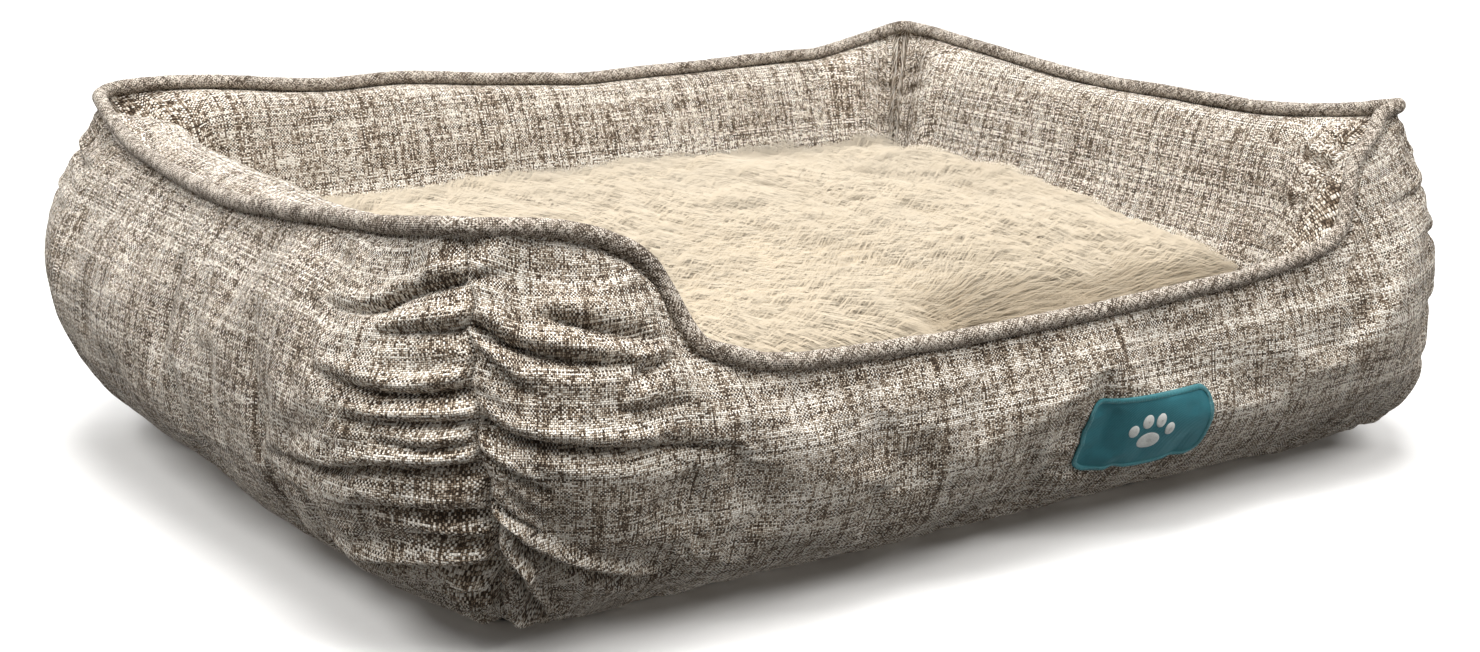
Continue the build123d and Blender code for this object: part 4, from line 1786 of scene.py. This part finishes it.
    def pile(self) -> None:
        """Make the pile: tapered three-sided strands that leave the skin, bend over and gather in tufts."""
        dice = np.random.default_rng(self.seed + 1)
        count = self.strands
        p, q, hanging, short = self.roots(dice)
        root, normal = self.top(p, q), self.normals(p, q)
        x, y = root[:, 0], root[:, 1]
        noise = Noise(self.seed + 2)
        heading = self.nap + self.nap_swing * noise.at(x + 2, y + 2, 0.12, 1.2)
        heading = heading + self.nap_ripple * noise.at(x + 5, y + 5, 0.045)
        big = self.clumps(x + 0.5, y + 0.5, self.big_tuft, self.seed + 3)
        small = self.clumps(x + 0.5, y + 0.5, self.small_tuft, self.seed + 4)
        heading = heading + 0.12 * (big[2] - 0.5) + 0.22 * (small[2] - 0.5) + dice.normal(0, 0.10, count)
        comb = np.stack([np.cos(heading), np.sin(heading), np.zeros(count)], 1)
        outward = np.stack([np.sign(p) * np.abs(p) ** 9, np.sign(q) * np.abs(q) ** 9, np.zeros(count)], 1)
        comb = comb + outward * 0.9
        comb[:, 2] -= self.hang_pull * hanging
        comb -= normal * (comb * normal).sum(1, keepdims=True)
        comb = unit(comb, TINY)
        size = self.length * dice.uniform(0.72, 1.08, count) * (0.86 + 0.28 * big[2]) * (0.9 + 0.2 * small[2])
        size *= np.where(short, self.short_share, 1.0)
        back = eased((q - 0.8) / 0.2) * hill(self.edge_share(p, q), 0.08)
        back *= ~hanging
        stand = self.rear_stand * back + self.lie + 0.1 * (big[2] - 0.5) + 0.12 * (small[2] - 0.5)
        stand = stand + 0.25 * hill(np.hypot(x - 0.02, y - 0.03), 0.03)
        stand = stand + 0.22 * noise.at(x + 9, y + 9, 0.04) + dice.normal(0, 0.1, count)
        middle = root + size[:, None] * (0.40 * normal * (stand[:, None] + 0.25) + 0.36 * comb)
        tip = root + size[:, None] * (0.34 * normal * stand[:, None] + 0.90 * comb)
        hang = hill(self.edge_share(p, q), 0.035) * (0.3 + 0.7 * (q < -0.8))
        tip[:, 2] -= self.droop * size * hang
        middle[:, 2] -= 0.12 * size * hang
        for blend, clump in zip(self.tuft_pull, (big, small)):
            centre = np.stack([clump[0] - 0.5, clump[1] - 0.5], 1)
            shift = (centre - root[:, :2]) * blend
            tip[:, :2] += shift * 0.9
            middle[:, :2] += shift * 0.35
        self.hold(middle)
        self.hold(tip)
        own = np.clip(0.5 + 0.2 * (small[2] - 0.5) + dice.normal(0, 0.16, count), 0, 1)
        thick = self.width * dice.uniform(0.75, 1.25, count)
        order = np.argsort(x + 0.3 * y)
        for number, part in enumerate(np.array_split(order, self.batches)):
            self.batch(number, *(column[part] for column in (root, middle, tip, normal, own, thick)))

    def hold(self, points: Array) -> None:
        """Keep strand points inside the well's leaning walls, and lift what they push back.

        Args:
            points: Points of the strands, changed in place.
        """
        rise = np.clip(points[:, 2] - 0.001, 0, 0.2)
        lean = WELL_ARC - np.sqrt(WELL_ARC**2 - rise**2)
        for axis, half in ((0, HALF_LENGTH), (1, HALF_DEPTH)):
            over = np.clip(np.abs(points[:, axis]) - (half - WELL_INSET + lean), 0, None)
            points[:, axis] -= np.sign(points[:, axis]) * over
            points[:, 2] += 0.7 * over

    def batch(
        self, number: int, root: Array, middle: Array, tip: Array, normal: Array, own: Array, thick: Array
    ) -> None:
        """Make one share of the pile: bent strands of seven points and straight ones of four.

        Args:
            number: Number in the piece's name.
            root: Where each strand leaves the skin.
            middle: Where it bends.
            tip: Where it ends.
            normal: Outward normal at the root.
            own: Random number of each strand.
            thick: Radius at the root.
        """
        lean = tip - root
        across = unit(np.cross(lean, normal), TINY)
        above = unit(np.cross(across, lean), TINY)
        turns = np.array([0, 2, 4]) * math.pi / 3 + math.pi / 2
        ring = across[:, None] * np.cos(turns)[:, None] + above[:, None] * np.sin(turns)[:, None]
        low = (root - normal * 0.002)[:, None] + ring * thick[:, None, None]
        bent = middle[:, None] + ring * (thick * 0.8)[:, None, None]
        curved = np.arange(len(root)) % round(1 / self.bent_share) == 0
        made, facings = Surface(), []
        for chosen, rings, heights in ((curved, (low, bent), (0.0, 0.5, 1.0)), (~curved, (low,), (0.0, 1.0))):
            points = np.concatenate([part[chosen] for part in rings] + [tip[chosen][:, None]], 1)
            levels = np.r_[np.repeat(heights[:-1], 3), heights[-1]]
            size, last = points.shape[1], points.shape[1] - 4
            index = made.count + np.arange(len(points))[:, None] * size
            for turn in range(3):
                face = [last + (turn + 1) % 3, last + turn, size - 1]
                made.corners.append(index + np.array(face)[None])
                made.corner_maps.append(self.strand_map(own[chosen], levels[face]))
                if len(rings) > 1:
                    face = [(turn + 1) % 3, turn, 3 + turn, 3 + (turn + 1) % 3]
                    made.quads.append(index + np.array(face)[None])
                    made.quad_maps.append(self.strand_map(own[chosen], levels[face]))
            made.points.append(points.reshape(-1, 3))
            made.count += points.shape[0] * size
            soft = (points - (root[chosen] + tip[chosen])[:, None] / 2) / (3 * self.width)
            outward = unit(np.cross(np.cross(lean[chosen], normal[chosen]), lean[chosen]), TINY)
            side = (soft * across[chosen][:, None]).sum(-1, keepdims=True) * across[chosen][:, None]
            facings.append((normal[chosen] * 0.75 + outward * 0.25)[:, None] + 0.35 * np.clip(side, -1, 1))
        piece = made.make(f"cushion_pile_{number}")
        facing = unit(np.concatenate([part.reshape(-1, 3) for part in facings]), TINY)
        piece.data.normals_split_custom_set_from_vertices(facing.tolist())
        self.dresser.dress(piece, Finish.FLEECE, "cushion", "fur", ("cushion_fur_top",))

    @staticmethod
    def strand_map(own: Array, levels: Array) -> Array:
        """Cloth coordinates of one face of every strand: the strand's number and the height along it."""
        return np.stack(np.broadcast_arrays(own[:, None], levels[None]), -1)

    def build(self) -> None:
        """Make the body and its pile."""
        self.body()
        self.pile()


@dataclass
class Patch:
    """Sewn patch on the front wall: twill, raised border and a plain paw motif."""

    dresser: Dresser
    wall: Wall
    centre_x: float = 0.070
    centre_z: float = 0.063
    length: float = 0.088
    height: float = 0.0485
    corner: float = 0.011
    border: float = 0.0032
    stitch: float = 0.0006
    # Paw: middle and half size of each pad
    pads: tuple = (
        (0.0, -0.0045, 0.0080, 0.0062), (-0.0114, 0.0028, 0.0034, 0.0044),
        (-0.0042, 0.0086, 0.0036, 0.0048), (0.0042, 0.0086, 0.0036, 0.0048),
        (0.0114, 0.0028, 0.0034, 0.0044),
    )

    def lay(self, x: Array, z: Array, lift: Array) -> Array:
        """Points on the front wall's outer panel at patch coordinates, lifted along its normal.

        Args:
            x: Distance right of the patch's middle.
            z: Distance along the cloth above the patch's middle.
            lift: Distance off the cloth.

        Returns:
            Points in space.
        """
        points, facing = self.wall.outer_points, self.wall.outer_facing
        columns = points[:, points.shape[1] // 3, 0]
        i = np.interp(self.centre_x + x, columns, np.arange(len(columns)))
        near = points[int(round(float(np.interp(self.centre_x, columns, np.arange(len(columns))))))]
        run = run_along(near)
        middle = np.interp(self.centre_z, near[:, 2], run)
        j = np.interp(middle + z, run, np.arange(len(run)))
        i0, j0 = i.astype(int), j.astype(int)
        ti, tj = (i - i0)[..., None], (j - j0)[..., None]

        def blend(a: Array) -> Array:
            """Value between four neighbours of a grid."""
            return (a[i0, j0] * (1 - ti) + a[i0 + 1, j0] * ti) * (1 - tj) + (
                a[i0, j0 + 1] * (1 - ti) + a[i0 + 1, j0 + 1] * ti
            ) * tj

        return blend(points) + blend(facing) * lift[..., None]

    def outline(self, inset: float, turns: Array) -> Array:
        """Rounded rectangle at an inset.

        Args:
            inset: Distance in from the patch's edge.
            turns: Shares of the line's length.

        Returns:
            Points at the shares.
        """
        half_x, half_z = self.length / 2 - inset, self.height / 2 - inset
        radius = max(self.corner - inset, 1e-4)
        fine = []
        for cx, cz, start in ((1, -1, -90), (1, 1, 0), (-1, 1, 90), (-1, -1, 180)):
            arc = np.radians(start + np.linspace(0, 90, 25))
            middle = np.array([cx * (half_x - radius), cz * (half_z - radius)])
            fine.append(middle + radius * np.stack([np.cos(arc), np.sin(arc)], 1))
        line = np.vstack(fine + [fine[0][:1]])
        run = run_along(line)
        at = turns * run[-1]
        return np.stack([np.interp(at, run, line[:, 0]), np.interp(at, run, line[:, 1])], 1)

    def face(self) -> bpy.types.Object:
        """Make the patch's twill: a closed shallow plate, slightly domed.

        Returns:
            The piece.
        """
        p, q = np.meshgrid(np.linspace(-1, 1, 90), np.linspace(-1, 1, 46), indexing="ij")
        inset = self.border * 0.6
        plan = round_off(p, q, self.length / 2 - inset, self.height / 2 - inset, self.corner - inset)
        share = 1 - np.maximum(np.abs(p), np.abs(q))
        lift = 0.0011 + 0.0005 * eased(share / 0.3)
        upper = self.lay(plan[..., 0], plan[..., 1], lift)
        lower = self.lay(plan[..., 0], plan[..., 1], lift * 0 - 0.0002)
        piece = closed_plate("patch_twill_face", plan, upper, lower, 0.0005, 1e-6)
        return self.dresser.dress(piece, Finish.PATCH, "bed", "patch_cloth", ("patch",))

    def satin(self, line: Array, wide: Array, lift: float) -> Surface:
        """Satin stitching along a closed line: a low round band whose surface ripples once a stitch.

        Args:
            line: Points of the middle line, closed.
            wide: Half width at each point.
            lift: Height of the band's top.

        Returns:
            The band's surface.
        """
        ahead = unit(np.roll(line, -1, 0) - np.roll(line, 1, 0), 1e-12)
        out = np.stack([ahead[:, 1], -ahead[:, 0]], 1)
        run = run_along(line)
        around = np.linspace(0, 2 * math.pi, 13)[:-1]
        ripple = 1 + 0.16 * np.cos(2 * math.pi * run / self.stitch)
        across = np.cos(around)[None] * wide[:, None]
        plan = line[:, None] + out[:, None] * across[..., None]
        height = 0.0009 + np.sin(around)[None] * lift * ripple[:, None]
        points = self.lay(plan[..., 0], plan[..., 1], height)
        points = np.concatenate([points, points[:1]])
        length = np.r_[run, run[-1] + 0.0003]
        cloth = np.stack(np.meshgrid(np.linspace(0, 0.006, 13), length, indexing="xy"), -1)
        made = Surface()
        made.grid(points, cloth, wrap=True)
        return made

    def stitched(self) -> None:
        """Make the border and the motif's satin stitching."""
        line = self.outline(self.border / 2, np.linspace(0, 1, 900, endpoint=False))
        band = self.satin(line, np.full(len(line), self.border / 2), 0.0011)
        border = band.make("patch_satin_border")
        merge(border, 1e-6)
        self.dresser.dress(border, Finish.BORDER, "bed", "patch_thread", ("patch_border",))
        motif = Surface()
        p, q = np.meshgrid(np.linspace(0, 1, 9), np.linspace(0, 2 * math.pi, 41), indexing="ij")
        for x, z, half_x, half_z in self.pads:
            dome = np.sqrt(np.clip(1 - p**2, 0, 1))
            plan_x, plan_z = x + half_x * p * np.cos(q), z + half_z * p * np.sin(q)
            ripple = 1 + 0.06 * np.cos(2 * math.pi * plan_z / self.stitch)
            lift = 0.0012 + 0.0011 * dome * ripple - 0.0008 * (p >= 1)
            points = self.lay(plan_x[:, :-1], plan_z[:, :-1], lift[:, :-1])
            cloth = np.stack([plan_x, plan_z], -1)
            ring = points[1:]
            motif.grid(ring, cloth[1:], wrap=True)
            motif.cap(ring[0], cloth[0, 0], flip=True)
        piece = motif.make("patch_paw_stitches")
        merge(piece, 1e-6)
        self.dresser.dress(piece, Finish.MOTIF, "bed", "patch_thread")

    def build(self) -> None:
        """Make the patch's pieces."""
        self.face()
        self.stitched()


@dataclass
class Zip:
    """Zip in the cushion's back edge: nylon coil over the CAD tape, slider and pull."""

    dresser: Dresser
    half: float = 0.144
    face: float = 0.1949
    height: float = 0.080
    radius: float = 0.00075
    pitch: float = 0.0021
    wire: float = 0.00034
    half_width: float = 0.0023

    def build(self) -> None:
        """Make the coil, a flattened helix of closed wire, and finish the CAD pieces."""
        turns = 2 * self.half / self.pitch
        t = np.linspace(0, turns * 2 * math.pi, int(turns * 12))
        path = np.stack(
            [
                -self.half + t / (2 * math.pi) * self.pitch,
                self.face + self.radius + (self.radius - self.wire) * np.cos(t),
                self.height + (self.half_width - self.wire) * np.sin(t),
            ],
            1,
        )
        ahead = unit(np.gradient(path, axis=0))
        side = unit(np.cross(ahead, [1.0, 0, 0]))
        lift = np.cross(side, ahead)
        coil = Surface()
        coil.tube(path, lift, side, np.full(len(path), self.wire), 6)
        piece = coil.make("zip_coil_wire")
        self.dresser.dress(piece, Finish.NYLON, "cushion", "zip_nylon", ("zip_coil",))
        self.dresser.node("zip_tape", Finish.TAPE)
        self.dresser.node("zip_slider", Finish.METAL)
        self.dresser.node("zip_pull", Finish.METAL)


@dataclass(frozen=True)
class Lamp:
    """One soft area light."""

    name: str
    place: tuple
    target: tuple
    size: float
    power: float
    colour: Colour = (1.0, 1.0, 1.0)


@dataclass
class Studio:
    """Camera, pale floor, world and soft lights."""

    place: tuple = (-0.781, -1.168, 0.430)
    turn: tuple = (75.6, 0.0, -33.8)
    lens: float = 55.70
    sensor: float = 36.0
    lamps: tuple = (
        Lamp("key", (-2.0, 0.2, 2.3), (0.0, 0.0, 0.1), 1.2, 56.0, (1.0, 0.99, 0.97)),
        Lamp("fill", (0.9, -2.1, 2.4), (0.0, 0.0, 0.1), 1.6, 74.0, (1.0, 0.985, 0.96)),
        Lamp("top", (-0.3, -0.5, 2.8), (0.0, 0.0, 0.0), 1.6, 92.0, (1.0, 0.99, 0.975)),
        Lamp("back", (1.6, 2.7, 3.0), (1.6, 2.9, 0.0), 3.0, 110.0),
    )
    sky_colour: Colour = (1.0, 0.975, 0.945)
    sky_strength: float = 0.225

    def camera(self) -> None:
        """Place the camera at the photograph's viewing angle."""
        data = bpy.data.cameras.new("camera")
        data.lens = self.lens
        data.sensor_width = self.sensor
        data.clip_start = 0.01
        seen = bpy.data.objects.new("camera", data)
        seen.location = self.place
        seen.rotation_euler = tuple(math.radians(angle) for angle in self.turn)
        bpy.context.scene.collection.objects.link(seen)
        bpy.context.scene.camera = seen

    def light(self) -> None:
        """Place the lamps and the even world light."""
        for lamp in self.lamps:
            data = bpy.data.lights.new(lamp.name, "AREA")
            data.size, data.energy, data.color = lamp.size, lamp.power, lamp.colour
            made = bpy.data.objects.new(lamp.name, data)
            made.location = lamp.place
            aim = Vector(lamp.target) - Vector(lamp.place)
            made.rotation_euler = aim.to_track_quat("-Z", "Y").to_euler()
            bpy.context.scene.collection.objects.link(made)
        world = bpy.data.worlds.new("studio")
        world.use_nodes = True
        sky = world.node_tree.nodes["Background"]
        sky.inputs["Color"].default_value = (*self.sky_colour, 1)
        sky.inputs["Strength"].default_value = self.sky_strength
        bpy.context.scene.world = world
        bpy.context.scene.view_settings.view_transform = "Standard"

    def floor(self) -> None:
        """Make the plain pale floor."""
        s = Shader("pale_floor")
        speck = s.noise(s.solid(), 40.0, 2.0)
        colour = s.ramp(speck, [(0.0, (0.86, 0.86, 0.86)), (1.0, (0.89, 0.89, 0.89))])
        material = s.finish(Base_Color=colour, Roughness=0.9, Specular_IOR_Level=0.1)
        x, y = np.meshgrid(np.linspace(-9, 9, 3), np.linspace(-9, 9, 3), indexing="ij")
        made = Surface()
        made.grid(np.stack([x, y, x * 0 - 0.0004], -1), np.stack([x, y], -1))
        ground = made.make("studio_floor")
        ground.data.materials.append(material)
        ground.visible_diffuse = False

    def build(self) -> None:
        """Set up the studio."""
        self.camera()
        self.light()
        self.floor()


def front_left_corner() -> Corner:
    """Seam of the front left corner, which strays onto the front wall."""
    heights = (0, 30, 50, 60, 72, 84, 96, 108, 120, 132, 144, 156, 166, 178, 190, 202, 214, 226, 242)
    stray = (0, 1, 5, 12, 12, 19, 16, 19, 15, 17, 13, 11, 13, 8, 11, 6, 9, 5, 3)
    return Corner(heights, stray, 0.0)


def front_form() -> FrontForm:
    """Front wall with the gathers of its left corner as photographed."""
    return FrontForm(
        "front", 0, HALF_LENGTH, HALF_DEPTH, 0, 460, 190, FRONT_LEFT_FOLDS,
        random_folds(12, (52, 96, 138, 176, 206), (26, 70), (1.0, 2.6), 0.12), front_left_corner(),
        Corner(swell=FRONT_RIGHT_SWELL), 1,
    )


def other_forms() -> list:
    """Right, back and left walls."""

    def gathers(seed: int, most: float = 5.6) -> tuple:
        """Gathers of a seam that the photograph hides."""
        return random_folds(seed, (44, 66, 90, 114, 138, 164, 190, 214), (30, 110), (most * 0.4, most), 0.14)

    plain, behind = Corner(), Corner(swell=BACK_LEFT_SWELL)
    return [
        WallForm(
            "right", 90, HALF_DEPTH, HALF_LENGTH, 0.008, 360, 150, gathers(21, 2.2), gathers(22),
            Corner(swell=FRONT_RIGHT_SWELL), plain, 2, rim_line=RIGHT_RIM, roll=0.010,
        ),
        WallForm(
            "back", 180, HALF_LENGTH, HALF_DEPTH, 0.004, 380, 150, gathers(31), gathers(32, 3.0), plain,
            behind, 3, rim_line=BACK_RIM, roll=0.010,
        ),
        WallForm(
            "left", 270, HALF_DEPTH, HALF_LENGTH, 0.015, 380, 170, gathers(41, 3.0), LEFT_FRONT_FOLDS,
            behind, front_left_corner(), 4, rim_line=LEFT_RIM, roll=0.033,
            roll_line=((-249, 1), (0, 1), (50, 0.85), (100, 0.7), (160, 0.6), (249, 0.6)),
        ),
    ]


def corners(box: tuple) -> list:
    """Lowest and highest corner as plain lists."""
    return [list(map(float, corner)) for corner in box]


def main() -> None:
    """Build the bed's looks."""
    logging.basicConfig(level=logging.INFO, format="%(name)s: %(message)s")
    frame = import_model()
    Studio().build()
    dresser = Dresser(frame["nodes"])
    front = Wall(front_form(), dresser)
    front.build()
    for form in other_forms():
        Wall(form, dresser).build()
    Floor(dresser).build()
    Cushion(dresser).build()
    Patch(dresser, front).build()
    Zip(dresser).build()


if __name__ == "__main__":
    main()
